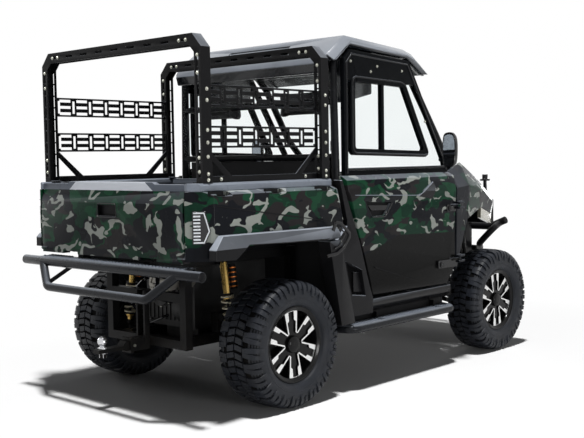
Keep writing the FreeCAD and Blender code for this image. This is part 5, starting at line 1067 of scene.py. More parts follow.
# Body, cage and steps
@dataclass
class Shell:
    """The CAD nodes that keep their shape, each with rounded edges and its finish."""

    rounded: tuple = (
        ("roof", "roof_plastic", 7.0), ("hood", "hood_camo", 4.0), ("front_fenders", "fender_camo", 4.0),
        ("nose", "body_dark", 5.0), ("side_panels", "body_dark", 4.0), ("side_steps", "bumper_steel", 2.0),
        ("bed_sides", "body_camo", 3.0), ("bed_caps", "cap", 3.0), ("rear_flares", "body_dark", 5.0),
        ("tailgate", "gate_camo", 3.0), ("door_left", "door_camo", 4.0), ("door_right", "door_camo", 4.0),
        ("rack_hoops", "rack_steel", 1.2), ("rack_panels", "rack_steel", 1.0), ("bed_floor", "trim", 1.5),
        ("rear_bumper", "bumper_steel", 1.5), ("front_bumper", "trim", 1.5), ("dashboard", "cabin", 3.0),
        ("cab_tub", "cabin", 3.0))
    stalk_low: float = 945.0
    mirror_inner: float = 745.0
    plain: tuple = (
        ("chassis_frame", "frame_steel"), ("cab_cage", "cage_steel"), ("cab_glass", "glass"),
        ("door_glass_left", "glass"), ("door_glass_right", "glass"), ("hitch", "frame_steel"),
        ("drive_unit", "cast_metal"), ("front_suspension", "frame_steel"), ("rear_suspension", "frame_steel"),
        ("knuckle_left", "cast_metal"), ("knuckle_right", "cast_metal"), ("steering_wheel", "trim"))

    def build(self, shop: Workshop) -> None:
        """Rounds and repaints the nodes."""
        for node, key, bevel in self.rounded:
            shop.softened(node, key, bevel)
        for side in Side:
            shop.softened("door_frame_" + side.name.lower(), "door_frame", 2.0,
                          keep=lambda middle: abs(middle.y) < self.mirror_inner * MM)
        shop.softened("front_lamps", "front_lens", 2.0, suffix="_corners",
                      keep=lambda middle: middle.z < self.stalk_low * MM)
        shop.softened("front_lamps", "gloss_trim", 2.0, suffix="_stalks",
                      keep=lambda middle: middle.z >= self.stalk_low * MM)
        for node, key in self.plain:
            shop.repaint(node, key)
        log.info("shell of %d nodes", len(self.rounded) + len(self.plain))


# Bed details
def dome_bolt(radius: float, sides: int = 10) -> Patch:
    """A domed nut on a washer, its axis along +Y from the origin: a turned section closed at its tip."""
    return turned_section([(radius * 1.35, -0.6), (radius * 1.35, 1.4), (radius, 1.6), (radius * 0.97, 3.6),
                           (radius * 0.72, 6.4), (ON_AXIS, 7.8)], sides)


@dataclass
class TailLamps:
    """The rear lamps: dark five-sided housings, eight light bars each and an arrow-shaped light guide."""

    run: float = 138.6
    angle: float = 43.83
    start: tuple = (-602.0, 594.0, 0.0)
    width: float = 86.0
    height: float = 152.0
    low: float = 868.0
    inset: float = 10.0
    bar_count: int = 8

    def _stood(self, outline: Points, near: float, far: float) -> Patch:
        """An outline in shares across and up the lamp, between two depths, stood on the bed's corner face."""
        flat = np.asarray(outline, dtype=float) * np.array([self.width, self.height])
        flat = flat + np.array([(self.run - self.width) / 2 + self.inset, self.low])
        c, s = math.cos(math.radians(self.angle)), math.sin(math.radians(self.angle))
        return prism(flat, 1, near, far).turned([[c, -s, 0], [s, c, 0], [0, 0, 1]]).moved(self.start)

    def build(self, shop: Workshop) -> None:
        """Places the housings and the light guides."""
        housing = self._stood([(0, 0), (0.68, 0), (1, 0.40), (0.70, 1), (0, 1)], 0.3, 11.0)
        arrow = self._stood([(0.06, 0.972), (0.66, 0.972), (0.95, 0.40), (0.64, 0.028), (0.06, 0.028),
                             (0.06, 0.068), (0.60, 0.068), (0.875, 0.40), (0.61, 0.932), (0.06, 0.932)],
                            10.5, 12.6)
        bars = [self._stood(rectangle(0.06, 0.44, v - 0.024, v + 0.024), 10.5, 12.2)
                for v in np.linspace(0.855, 0.145, self.bar_count)]
        shop.piece("tail_lamp_housings", housing.both_sides(), "tail_lens", "bed", ["tail_lamps"], 2.0)
        shop.piece("tail_lamp_guides", joined([arrow] + bars).both_sides(), "lamp_white", "bed", (), 0.6)
        log.info("tail lamps")


@dataclass
class Bed:
    """What the bed and tailgate carry beside their shells: painted shade in the tie slots, painted crease
    shadows, flare hooks and the grip.
    """

    side_y: float = 690.0
    slot_x: tuple = (-480.0, -113.0, 260.0)
    grip_half: float = 72.0
    grip_low: float = 985.0
    grip_high: float = 1040.0
    grip_wall: float = 1.2
    rear_x: float = -602.0

    def slots(self) -> Patch:
        """Painted shade in the tie slots: a dark tray on each slot's floor, and a thin dark lip round its
        trapezoid mouth, down both ends and along the bottom.
        """
        near = self.side_y - 0.4
        trays = [prism(rectangle(x - 49, x + 49, 1111.5, 1088.5), 1, self.side_y - 11.9, self.side_y - 10.6)
                 for x in self.slot_x]
        lips = [swept(np.array([(x - 49.0, near, 1111.0), (x - 46.0, near, 1089.0), (x + 46.0, near, 1089.0),
                                (x + 49.0, near, 1111.0)]), circle(1.6, 6), (0.0, 1.0, 0.0))
                for x in self.slot_x]
        return joined(trays + lips)

    def crease(self) -> Patch:
        """Painted crease shadow down the side: a thin dark strip along a straight line, tapered at both ends.
        """
        t = np.linspace(0.0, 1.0, 24)
        path = np.stack([-545 + 850 * t, np.full(24, self.side_y - 0.2), 1052 - 124 * t], axis=-1)
        return tapered_strip(path, 3.2 * np.sin(np.pi * np.clip(t, 0.02, 0.98)) ** 0.4, 0.35)

    def hook(self, points: Points, half: float, y: float, depth: float) -> Patch:
        """A flat band bent along points in x and z, on the outside of the flare."""
        path = np.asarray(points, dtype=float)
        path = np.stack([path[:, 0], np.full(len(path), y), path[:, 1]], axis=-1)
        return swept(path, rounded_outline(rectangle(-half, half, -depth, depth), 2.5, 3), (0.0, 1.0, 0.0))

    def build(self, shop: Workshop) -> None:
        """Places the pieces."""
        # dark trays and lips: painted shade in the tie slots
        shop.piece("tie_slot_trays", self.slots().both_sides(), "trim", "bed")
        shop.piece("bed_side_creases", self.crease().both_sides(), "trim", "bed")
        outer = self.hook([(296, 924), (338, 917), (408, 860), (407, 840), (362, 788), (308, 760),
                           (228, 753)], 9.0, 745.5, 4.0)
        inner = self.hook([(318, 893), (345, 884), (376, 858), (330, 800), (288, 786)], 4.5, 744.5, 2.6)
        foot = self.hook([(280, 880), (300, 925)], 12.0, 744.0, 3.0)
        shop.piece("flare_hooks", joined([outer, inner, foot]).both_sides(), "gloss_trim", "bed", (), 1.0)
        outline = rectangle(-self.grip_half, self.grip_half, self.grip_low, self.grip_high)
        pan = prism(outline, 0, self.rear_x + 18.6, self.rear_x + 19.9)
        walls = []
        for (y0, z0), (y1, z1) in zip(outline, outline[1:] + outline[:1]):
            in_y = np.sign(y0 + y1) * self.grip_wall if y0 == y1 else 0.0
            in_z = np.sign(z0 + z1 - self.grip_low - self.grip_high) * self.grip_wall if z0 == z1 else 0.0
            box = [(y0, z0), (y1, z1), (y1 - in_y, z1 - in_z), (y0 - in_y, z0 - in_z)]
            walls.append(prism(box, 0, self.rear_x + 0.4, self.rear_x + 19.9))
        shop.piece("grip_pocket", joined([pan] + walls), "trim", "tailgate")
        lip = rounded_outline([(-80, 978), (80, 978), (74, 1047), (-74, 1047)], 10.0, 4)
        ring = np.stack([np.full(len(lip), self.rear_x - 0.2), lip[:, 0], lip[:, 1]], axis=-1)
        bead = swept(ring, circle(2.6, 8), (1.0, 0.0, 0.0), closed=True)
        shop.piece("grip_lip", bead, "gloss_trim", "tailgate")
        log.info("bed details")


@dataclass
class Rack:
    """The bed rack's domed nuts, in pairs at each joint."""

    rear_x: float = -528.0
    front_x: float = 307.0
    depth: float = 58.0
    outer_y: float = 650.0
    levels: tuple = (1586.0, 1534.0, 1396.0, 1338.0, 1272.0, 1192.0, 1164.0)

    def build(self, shop: Workshop) -> None:
        """Places the nuts on the posts, the beams and the base rails."""
        side_nut = along_axis(dome_bolt(7.0), (0, 1, 0))
        back_nut = along_axis(dome_bolt(7.0), (-1, 0, 0))
        ends = (self.rear_x, self.front_x)
        sides = [(x + self.depth / 2 + 2, self.outer_y, z) for x in ends for z in self.levels]
        sides += [(x, 611.6, 1165.0) for x in (-380.0, 218.0)]
        backs = [(x, self.outer_y - 26, z) for x in ends for z in (1742.0, 1660.0, 1268.0, 1202.0)]
        backs += [(x, y, 1818.0) for x in ends for y in (498.0, 546.0)]
        nuts = joined([copies(side_nut, sides), copies(back_nut, backs)])
        shop.piece("rack_nuts", nuts.both_sides(), "bolt", "bed")
        log.info("rack nuts")


@dataclass
class Treads:
    """Raised rings on the rear bumper's deck and on the side steps, and the bumper's struts and tube caps."""

    pitch: float = 26.0

    def _ring(self) -> Patch:
        """One raised ring with a dimple, a section turned about Z."""
        return upright(turned_section([(9.5, -0.4), (8.0, 4.6), (5.6, 5.0), (4.4, 0.4), (ON_AXIS, 0.3)], 10))

    def build(self, shop: Workshop) -> None:
        """Places the rings in rows, with room for the struts on the deck, then the struts and the caps."""
        ring = self._ring()
        rows = ((-598.0, 0.0), (-573.0, self.pitch / 2), (-548.0, 0.0))
        across = np.arange(-572.0, 573.0, self.pitch)
        deck = np.array([(x, y + shift, 750.7) for x, shift in rows for y in across])
        keep = np.abs(np.abs(deck[:, 1]) - 300.0) > 72.0
        deck = deck[(keep | (deck[:, 0] < -580.0)) & (np.abs(deck[:, 1]) < 580.0)]
        # the deck's rings take the pale grey cap finish, a painted highlight on their tops against the darker
        # deck
        shop.piece("bumper_tread_rings", copies(ring, deck), "cap", "chassis")
        rows = ((676.0, 0.0), (702.0, self.pitch / 2), (727.0, 0.0))
        steps = [(x + shift, y, 359.0) for y, shift in rows for x in np.arange(446.0, 1362.0, self.pitch)]
        # the steps' rings take the same pale finish, a painted highlight on their tops
        shop.piece("step_tread_rings", copies(ring, steps).both_sides(), "cap", "chassis")
        bend = smooth_line([(-556, 296, 742), (-588, 372, 690), (-672, 452, 611)], 14)
        strut = swept(bend, circle(11.0, 12), (1, 0, 0))
        shop.piece("bumper_struts", strut.both_sides(), "trim", "chassis")
        cap = turned_section([(ON_AXIS, 2.2), (19.0, 1.6), (22.5, -0.5), (22.5, -4.0)], 24)
        shop.piece("bumper_tube_caps", cap.moved((-617.0, 727.0, 726.0)).both_sides(), "trim", "chassis")
        log.info("treads")


@dataclass
class Damper:
    """One shock absorber: gold body, coil spring on its lower half, end eyes and a reservoir with coils."""

    x: float
    top_height: float
    toward: float
    top_y: float = 364.0
    low_y: float = 424.0
    foot: float = 350.0
    coil_radius: float = 31.0
    wire: float = 4.6
    turns: float = 6.5

    @staticmethod
    def _rod(start: Array, end: Array, radii: Points, sides: int = 24) -> Patch:
        """A turned piece between two points: each pair is a share of the length and a radius there."""
        axis = end - start
        length = float(np.linalg.norm(axis))
        profile = [(radius, share * length) for share, radius in radii]
        return along_axis(turned_section(profile, sides), axis).moved(start)

    def build(self) -> dict:
        """Makes the shock's surfaces for one side.

        Returns:
            The patches by finish.
        """
        tip = ON_AXIS
        top = np.array([self.x, self.top_y, self.top_height])
        foot = np.array([self.x, self.low_y, self.foot])
        reach = foot - top
        unit = reach / np.linalg.norm(reach)
        plate = [(0, tip), (0, 34), (1, 34), (1, tip)]
        gold = [self._rod(top, top + reach * 0.50, [(0.02, tip), (0.02, 17), (0.06, 19), (0.94, 19),
                                                    (0.97, 21.5), (1.0, 21.5), (1.0, tip)]),
                self._rod(top + reach * 0.86, foot, [(0, tip), (0.0, 26), (0.35, 26), (0.5, 15), (1.0, 14),
                                                     (1.0, tip)])]
        dark = [self._rod(top + reach * 0.49, top + reach * 0.90, [(0, tip), (0, 7.5), (1, 7.5), (1, tip)],
                          16),
                self._rod(top + reach * 0.43, top + reach * 0.455, plate),
                self._rod(top + reach * 0.86, top + reach * 0.885, plate)]
        turn = np.linspace(0.0, self.turns * 2 * np.pi, int(self.turns * 22))
        climb = np.interp(turn, [0, 2 * np.pi, turn[-1] - 2 * np.pi, turn[-1]], [0.46, 0.475, 0.845, 0.855])
        axes = aimed(unit)
        path = top + reach * climb[:, None] + self.coil_radius * (
            np.cos(turn)[:, None] * axes[:, 0] + np.sin(turn)[:, None] * axes[:, 1])
        coil = swept(path, circle(self.wire, 8), tuple(unit))
        section = [(9, -17), (19, -17), (19, 17), (9, 17), (9, -17)]
        eye = along_axis(turned_section(section, 24), (1, 0, 0)).moved(top)
        side = np.array([self.toward * 54.0, 0.0, 0.0])
        start = top + unit * 22 + side
        tank = self._rod(start, start + unit * 130, [(0, tip), (0, 17), (0.05, 20), (0.95, 20), (1, 17),
                                                     (1, tip)])
        hoop = [(0, 20), (0.3, 22.5), (0.7, 22.5), (1, 20)]
        rings = [self._rod(start + unit * d, start + unit * (d + 9), hoop) for d in (16, 40, 64, 88, 112)]
        neck = start + unit * 16
        bridge = self._rod(neck - side, neck, [(0, tip), (0, 9), (1, 9), (1, tip)], 12)
        ball = self._rod(foot - unit * 19, foot + unit * 19, [(0, tip), (0.15, 13.5), (0.5, 19), (0.85, 13.5),
                                                              (1, tip)])
        lug = prism(rectangle(self.x - 19, self.x + 19, self.top_height - 19, self.top_height + 9), 1, 322.9,
                    self.top_y)
        return {"shock_metal": gold, "frame_steel": dark + [eye, ball, lug, tank, bridge], "spring": [coil],
                "reservoir": rings}


def shocks(shop: Workshop) -> None:
    """Builds the four shock absorbers, one piece for each finish, in place of their node."""
    parts: dict = {}
    for damper, dark in ((Damper(-150.0, 742.0, 1.0), False), (Damper(2057.0, 760.0, -1.0), True)):
        for key, patches in damper.build().items():
            parts.setdefault("frame_steel" if dark and key != "spring" else key, []).extend(patches)
    for key, patches in parts.items():
        nodes = ["shocks"] if key == "shock_metal" else []
        shop.piece("shocks_" + key, joined(patches).both_sides(), key, "chassis", nodes)
    log.info("shock absorbers")


@dataclass
class Hitch:
    """The plated ball, its collar, nut and washers on the black drawbar."""

    x: float = -648.0
    plate_top: float = 316.0
    ball_middle: float = 353.0
    ball_radius: float = 25.4

    def build(self, shop: Workshop) -> None:
        """Places the ball and the nut as turned sections about Z."""
        a = np.linspace(np.pi / 2, -0.92, 18)
        ball = np.stack([self.ball_radius * np.cos(a), self.ball_middle + self.ball_radius * np.sin(a)],
                        axis=-1)
        ball[0, 0] = ON_AXIS
        low = np.array([[14.2, 330.0], [14.2, 326.0], [24.0, 324.5], [24.0, self.plate_top + 0.2],
                        [14, self.plate_top - 0.5]])
        stem = upright(turned_section(np.concatenate([ball, low]), 32)).moved((self.x, 0, 0))
        nut = prism(circle(21.6, 6), 2, 271.8, 293.0).moved((self.x, 0, 0))
        washer = upright(turned_section([(13, 293.0), (25, 293.0), (25, 296.2), (13, 296.2)], 28))
        washer = washer.moved((self.x, 0, 0))
        shop.piece("hitch_ball", joined([stem, nut, washer]), "hitch_steel", "chassis", (), 0.8)
        rod = turned_section([(ON_AXIS, -46), (7.5, -46), (7.5, 46), (ON_AXIS, 46)], 16)
        pin = along_axis(rod, (0, 1, 0))
        bend = smooth_line([(0, 46, 0), (14, 52, 6), (22, 48, -14), (8, 44, -30)], 20)
        clip = swept(bend, circle(2.2, 6), (1, 0, 0))
        shop.piece("hitch_pin", joined([pin, clip]).moved((-478.0, 0.0, 312.0)), "bolt", "chassis")
        log.info("hitch")


@dataclass
class Underside:
    """What shows under the tail: the engine's fins, covers and hoses, a silencer and the shafts' boots."""

    block_x: float = -200.0
    silencer: tuple = (-478.0, -214.0, 648.0)

    @staticmethod
    def _turned(profile: Points, start: Sequence[float], direction: Sequence[float] = (1, 0, 0),
                steps: int = 28) -> Patch:
        """A turned section of radius and distance that starts at a point and runs along a direction."""
        return along_axis(turned_section(profile, steps), direction).moved(start)

    def boots(self) -> Patch:
        """Rubber bellows on the half shafts: radii that swell and shrink from fold to fold."""
        parts = []
        for x, inner in ((0.0, 195.0), (WHEELBASE, 130.0)):
            start, end = np.array([x, inner, 392.0]), np.array([x, 575.0, 330.0])
            unit = (end - start) / np.linalg.norm(end - start)
            folds = np.arange(9)
            swell = 22.0 + 1.8 * folds + 5.0 * (folds % 2)
            line = [(ON_AXIS, 0.0)] + list(zip(swell[::-1], folds * 9.5)) + [(14.5, 82.0)]
            parts.append(self._turned(line, start - unit, unit, 20))
            parts.append(self._turned(line, end, -unit, 20))
        return joined(parts)

    def build(self, shop: Workshop) -> None:
        """Places the pieces."""
        fins = [prism(rectangle(y - 3, y + 3, 404.0, 684.0), 0, self.block_x - 7, self.block_x + 1)
                for y in np.arange(-170.0, 171.0, 34.0)]
        covers = [self._turned([(ON_AXIS, -20), (radius - 12, -20), (radius - 6, -16), (radius - 4, -8),
                                (radius, -7), (radius, 1)], (self.block_x, y, z))
                  for y, z, radius in ((70.0, 560.0, 92.0), (-78.0, 470.0, 58.0))]
        shop.piece("engine_fins", joined(fins + covers), "cast_metal", "chassis", (), 0.8)
        x, y, z = self.silencer
        can = self._turned([(ON_AXIS, 6), (30, 6), (31, 0), (45, 0), (50, 5), (50, 228), (44, 236), (14, 240),
                            (14, 279)], self.silencer, steps=36)
        bands = [self._turned([(50, 0), (51.6, 0.5), (51.6, 9), (50, 9.5)], (x + d, y, z), steps=36)
                 for d in (38.0, 190.0)]
        pipe = self._turned([(ON_AXIS, -22), (10.5, -22), (13, -24), (13, 6), (ON_AXIS, 6)],
                            (x, y - 8, z - 10), steps=20)
        shop.piece("silencer", joined([can, pipe] + bands), "silencer_steel", "chassis", (), 0.0, 30.0)
        hoses = [swept(smooth_line(points, 26), circle(size, 8), (0, 1, 0)) for points, size in (
            ([(-199, 120, 640), (-262, 150, 610), (-300, 205, 520), (-250, 214, 440), (-199, 180, 424)], 9.0),
            ([(-199, -30, 655), (-285, -60, 625), (-330, -40, 560), (-262, -8, 520), (-199, -20, 500)], 8.0),
            ([(-199, 20, 430), (-270, 60, 400), (-330, 120, 372), (-260, 170, 380), (-199, 150, 400)], 7.0))]
        shop.piece("engine_hoses", joined(hoses), "tail_lens", "chassis")
        bolt = along_axis(dome_bolt(5.5, 8), (-1, 0, 0))
        ring = np.radians(np.arange(0, 360, 45))
        spots = [(self.block_x - 7, 70 + 86 * math.cos(a), 560 + 86 * math.sin(a)) for a in ring]
        shop.piece("engine_bolts", copies(bolt, spots), "bolt", "chassis")
        shop.piece("shaft_boots", self.boots().both_sides(), "trim", "chassis")
        log.info("underside")


@dataclass
class Sills:
    """What fills the sides low down: the inner rocker plates, the steps' feet and the intake pockets, with
    painted shade on their floors.
    """

    plate_y: float = 651.0
    plate_low: float = 354.0
    plate_high: float = 401.0

    def build(self, shop: Workshop) -> None:
        """Places the plates, the feet and the intakes."""
        plate = prism(rectangle(436, 1379, self.plate_low, self.plate_high), 1, self.plate_y - 3,
                      self.plate_y + 3)
        feet = []
        for x in (712.0, 1264.0):
            feet.append(prism(rectangle(x - 15, x + 15, 358.5, 363.0), 1, 652.0, 742.0))
            feet.append(prism(rectangle(x - 4, x + 4, 362.0, 399.0), 1, 652.0, 688.0))
        shop.piece("rocker_plates", joined([plate] + feet).both_sides(), "trim", "chassis", (), 0.8)
        corners = [(425, 705), (560, 648), (592, 503), (475, 520)]
        floor = prism(corners, 1, 669.4, 671.4)
        rim = np.array([(x, 703.4, z) for x, z in corners])
        edge = swept(rim, circle(2.4, 6), (0, 1, 0), closed=True)
        panel = prism([(512, 532), (584, 522), (556, 632), (512, 640)], 1, 670.0, 684.0)
        # near-black sheets on the pockets' floors: painted shade in the recess
        shop.piece("intake_floors", floor.both_sides(), "groove", "chassis")
        shop.piece("intake_panels", joined([panel, edge]).both_sides(), "body_dark", "chassis", (), 1.0)
        log.info("sills")


# Doors
def door_face(z: Array) -> Array:
    """How far out the door's outer face stands at a height, straight between its folds."""
    folds = [498.0, 560.0, 860.0, 1050.0, 1138.0, 1160.0]
    return np.interp(z, folds, [708.0, 720.0, 706.0, 720.0, 700.0, 662.0])


@dataclass
class DoorTrim:
    """The furniture of one door: blade, handle, hinge straps, a painted crease shadow and mirror glass, with
    a painted highlight along the belt.
    """

    side: Side

    def blade(self) -> Patch:
        """The raised dark blade on the crease: a grid between four corners that follows the door's face.

        A point stands off the face by 6 mm along the upper edge, fading to 1.5 mm along the lower one, and
        the border is sunk.
        """
        a, b, c, d = np.array([(1068, 1028), (1230, 1106), (1250, 1074), (1212, 1006)], dtype=float)
        share = np.concatenate([[0.0], np.linspace(0.0, 1.0, 14), [1.0]])
        s, t = share[:, None, None], share[None, :, None]
        flat = (1 - s) * ((1 - t) * a + t * b) + s * ((1 - t) * d + t * c)
        lift = 6.0 - 4.5 * np.broadcast_to(s, flat.shape[:2] + (1,))[..., 0]
        edge = np.ones(flat.shape[:2], dtype=bool)
        edge[1:-1, 1:-1] = False
        out = door_face(flat[..., 1]) + np.where(edge, -2.0, lift)
        return grid(np.stack([flat[..., 0], out, flat[..., 1]], axis=-1))

    def handle(self) -> list[Patch]:
        """The pocket's floor, its bright lower lip and the pull lever in it."""
        outline = [(585, 1018), (812, 1003), (782, 965), (752, 935), (645, 935)]
        floor = prism(outline, 1, 697.6, 699.4)
        lip_path = smooth_line([(818, 719.5, 1000), (786, 718.5, 962), (756, 716, 931), (700, 715.5, 929),
                                (642, 716, 931)], 40)
        lip = swept(lip_path, circle(4.0, 8), (0, 1, 0))
        grip = rounded_outline([(604, 1000), (788, 990), (770, 962), (640, 966)], 8.0, 4)
        lever = prism(grip, 1, 700.0, 713.0)
        return [floor, lip, lever]

    def strap(self, low: float, high: float, rear: float, front: float, button: float) -> Patch:
        """A hinge strap: a rounded plate on the door with a round button in two steps."""
        middle = (low + high) / 2
        face = float(door_face(np.array(middle)))
        outline = rounded_outline([(rear, low + 3), (front, low), (front, high), (rear, high + 2)], 7.0, 4)
        plate = prism(outline, 1, face - 4.0, face + 7.0)
        knob = turned_section([(17.5, -1.0), (17.5, 5.0), (14.0, 7.0), (12.0, 4.6), (8.0, 4.6), (6.5, 8.0),
                               (ON_AXIS, 8.5)], 28)
        return joined([plate, knob.moved((button, face + 6.5, middle))])

    def crease(self) -> Patch:
        """Painted shadow of the faint diagonal crease low on the door: a thin dark tapered strip."""
        t = np.linspace(0.0, 1.0, 16)
        z = 652 - 118 * t
        path = np.stack([664 + 400 * t, door_face(z) - 0.4, z], axis=-1)
        return tapered_strip(path, 3.0 * (1 - 0.7 * t), 0.3)

    def mirror(self) -> tuple[Patch, Patch]:
        """The mirror's rounded shell, rings of one outline that shrink towards the front, and its glass.

        Returns:
            The shell and the glass.
        """
        line = smooth_line([(757, 1204), (750, 1300), (757, 1376), (786, 1395), (824, 1388), (839, 1340),
                            (838, 1250), (826, 1200), (788, 1191)], 40, closed=True)
        middle = np.array([794.0, 1293.0])
        stages = ((1272.0, 0.80), (1270.2, 0.93), (1269.0, 0.97), (1271.0, 1.0), (1286.0, 1.0),
                  (1302.0, 0.92), (1309.5, 0.7), (1311.0, 0.35))
        rings = [np.stack([np.full(len(line), x), *(middle + (line - middle) * size).T], axis=-1)
                 for x, size in stages]
        pane = middle + (line - middle) * 0.87
        return capped(np.stack(rings)), prism(pane, 0, 1270.6, 1273.0)

    def beads(self) -> Patch:
        """The round beads on the frame: near its outline, on the sliding window and over the belt."""
        outer = [(507, 1172), (507, 1768), (550, 1814), (800, 1798), (1056, 1784), (1112, 1700), (1376, 1300),
                 (1424, 1226), (1445, 1172)]
        pane = rounded_outline([(556, 1282), (556, 1695), (1028, 1680), (1269, 1263)], 40.0, 5)
        parts = []
        for line, closed, radius in ((outer, False, 6.5), (pane, True, 6.0),
                                     ([(500, 1194), (1440, 1194)], False, 7.5)):
            path = np.array([(x, 655.0, z) for x, z in line])
            parts.append(swept(path, circle(radius, 8), (0, 1, 0), closed=closed))
        return joined(parts)

    def nuts(self) -> Patch:
        """Domed nuts along the top of the frame."""
        nut = along_axis(dome_bolt(6.0, 8), (0, 1, 0))
        return copies(nut, [(543, 656, 1776), (774, 656, 1760), (1003, 656, 1746), (716, 656, 1728),
                            (1226, 656, 1462)])

    def belt_edge(self) -> Patch:
        """A painted highlight along the crease and up the front of the blade: a thin pale rod on the door's
        face.
        """
        x, z = np.array([(494, 1056), (760, 1046), (1040, 1035), (1072, 1036), (1150, 1073), (1232, 1109)]).T
        path = np.stack([x, door_face(z) + 0.2, z], axis=-1)
        return swept(path, circle(1.9, 6), (0, 0, 1))

    def build(self, shop: Workshop) -> None:
        """Places the pieces on the door."""
        floor, lip, lever = self.handle()
        straps = joined([self.strap(586, 634, 1262, 1460, 1296), self.strap(922, 964, 1364, 1460, 1394)])
        shell, glass = self.mirror()
        body = "door_" + self.side.name.lower()
        for name, patch, key, bevel in (
                ("blade", self.blade(), "body_dark", 0.0), ("handle_floor", floor, "trim", 0.0),
                ("handle_lip", lip, "gloss_trim", 0.0), ("handle_lever", lever, "gloss_trim", 3.0),
                ("hinge_straps", straps, "gloss_trim", 1.2), ("low_crease", self.crease(), "trim", 0.0),
                ("mirror_shell", shell, "gloss_trim", 0.0), ("mirror_glass", glass, "mirror", 0.0),
                ("frame_beads", self.beads(), "film_steel", 0.0), ("frame_nuts", self.nuts(), "bolt", 0.0),
                # the pale rod along the belt is a painted highlight
                ("belt_edge", self.belt_edge(), "cap", 0.0)):
            patch = patch if self.side is Side.LEFT else patch.mirrored()
            shop.piece(f"{body}_{name}", patch, key, body, (), bevel, closed=name != "blade")
        log.info("door trim %s", self.side.name.lower())


# Seats
@dataclass
class Pad:
    """One padded piece: a rounded block blown up by the cloth solver up to a limit, with sewn channels."""

    name: str
    outline: Points
    low_y: float
    high_y: float
    channels: tuple
    fill: float = 0.75
    shrink: float = 9.0
    voxel: float = 9.0
    most: float = 20.0
    sewn_depth: float = 5.0
    pressure: float = 4.0
    frames: int = 20

    def _start(self) -> bpy.types.Object:
        """The block that is blown up: the outline drawn in a little and carried across the seat."""
        flat = np.asarray(self.outline, dtype=float)
        middle = flat.mean(axis=0)
        drawn = middle + (flat - middle) * (1 - 2 * self.shrink / np.ptp(flat, axis=0))
        patch = prism(rounded_outline(drawn, 26.0, 4), 1, self.low_y + self.shrink, self.high_y - self.shrink)
        obj = linked(self.name, mesh_of(self.name, patch))
        edge = obj.modifiers.new("edge", "BEVEL")
        edge.width, edge.segments, edge.limit_method = 0.022, 3, "ANGLE"
        skin = obj.modifiers.new("skin", "REMESH")
        skin.mode, skin.voxel_size, skin.use_smooth_shade = "VOXEL", self.voxel * MM, True
        self._apply(obj)
        return obj

    @staticmethod
    def _apply(obj: bpy.types.Object) -> None:
        """Makes the piece's evaluated shape its own mesh and drops its modifiers."""
        shaped = bpy.data.meshes.new_from_object(obj.evaluated_get(bpy.context.evaluated_depsgraph_get()))
        obj.modifiers.clear()
        obj.data = shaped

    @staticmethod
    def _read(mesh: bpy.types.Mesh, what: str = "co") -> Array:
        """The mesh's points, or its normals there, as an array."""
        values = np.empty(len(mesh.vertices) * 3)
        mesh.vertices.foreach_get(what, values)
        return values.reshape(-1, 3)

    def _blown(self, obj: bpy.types.Object) -> None:
        """Runs the cloth solver with inner pressure, then caps how far each point has moved."""
        before = self._read(obj.data)
        cloth = obj.modifiers.new("fill", "CLOTH")
        cloth.settings.use_pressure = True
        cloth.settings.uniform_pressure_force = self.pressure
        cloth.settings.quality = 4
        cloth.settings.effector_weights.gravity = 0.0
        scene = bpy.context.scene
        for step in range(1, self.frames + 1):
            scene.frame_set(step)
        self._apply(obj)
        scene.frame_set(1)
        move = self._read(obj.data) - before
        length = np.linalg.norm(move, axis=1, keepdims=True)
        capped_move = move * np.minimum(1.0, self.most * MM / np.maximum(length, 1e-9))
        obj.data.vertices.foreach_set("co", (before + capped_move).ravel())
        obj.data.update()

    def _sewn(self, obj: bpy.types.Object) -> None:
        """Presses the sewn channels in: a point sinks by a bell of its distance from a channel's line."""
        mesh = obj.data
        points, normals = self._read(mesh), self._read(mesh, "normal")
        local = points / MM - np.array([REAR_AXLE_X / MM, 0.0, 0.0])
        depth = np.zeros(len(points))
        for axis, level, width in self.channels:
            depth = np.maximum(depth, self.sewn_depth * np.exp(-((local[:, axis] - level) / width) ** 2))
        mesh.vertices.foreach_set("co", (points - normals * depth[:, None] * MM).ravel())
        mesh.update()

    def build(self, shop: Workshop, key: str, nodes: Sequence[str]) -> None:
        """Makes the pad, and its twin on the other side from the same cloth.

        Args:
            shop: the workshop.
            key: its finish.
            nodes: the CAD nodes it stands for.
        """
        obj = self._start()
        self._blown(obj)
        self._sewn(obj)
        twin_mesh = obj.data.copy()
        twin_mesh.vertices.foreach_set("co", (self._read(obj.data) * np.array([1.0, -1.0, 1.0])).ravel())
        twin_mesh.flip_normals()
        twin = linked(self.name + "_right", twin_mesh)
        obj.name = self.name + "_left"
        for piece in (obj, twin):
            piece.data.materials.clear()
            piece.data.shade_smooth()
            fine = piece.modifiers.new("smooth surface", "SUBSURF")
            fine.levels = fine.render_levels = 1
            shop.finish_piece(piece, key, "chassis", nodes)
        log.info("pad %s", self.name)


def seats(shop: Workshop) -> None:
    """Builds cushions, backs and headrests for both places."""
    cushion = ((604, 802), (1056, 802), (1056, 886), (1034, 908), (604, 896))
    back = ((592, 803), (599, 803), (598, 905), (588, 1288), (508, 1288), (500, 1266))
    rest = rectangle(479, 539, 1484, 1638)
    flanks = ((1, 150.0, 7.0), (1, 490.0, 7.0))
    for pad in (Pad("seat_cushion", cushion, 88.0, 552.0, ((0, 760.0, 7.0), (0, 905.0, 7.0)) + flanks),
                Pad("seat_back", back, 88.0, 552.0, ((2, 1010.0, 7.0), (2, 1140.0, 7.0)) + flanks, shrink=7.0,
                    most=12.0),
                Pad("headrest", rest, 169.0, 489.0, ((1, 230.0, 6.0), (1, 428.0, 6.0)), shrink=6.0, voxel=8.0,
                    most=10.0)):
        pad.build(shop, "seat_cover", ["seats"])


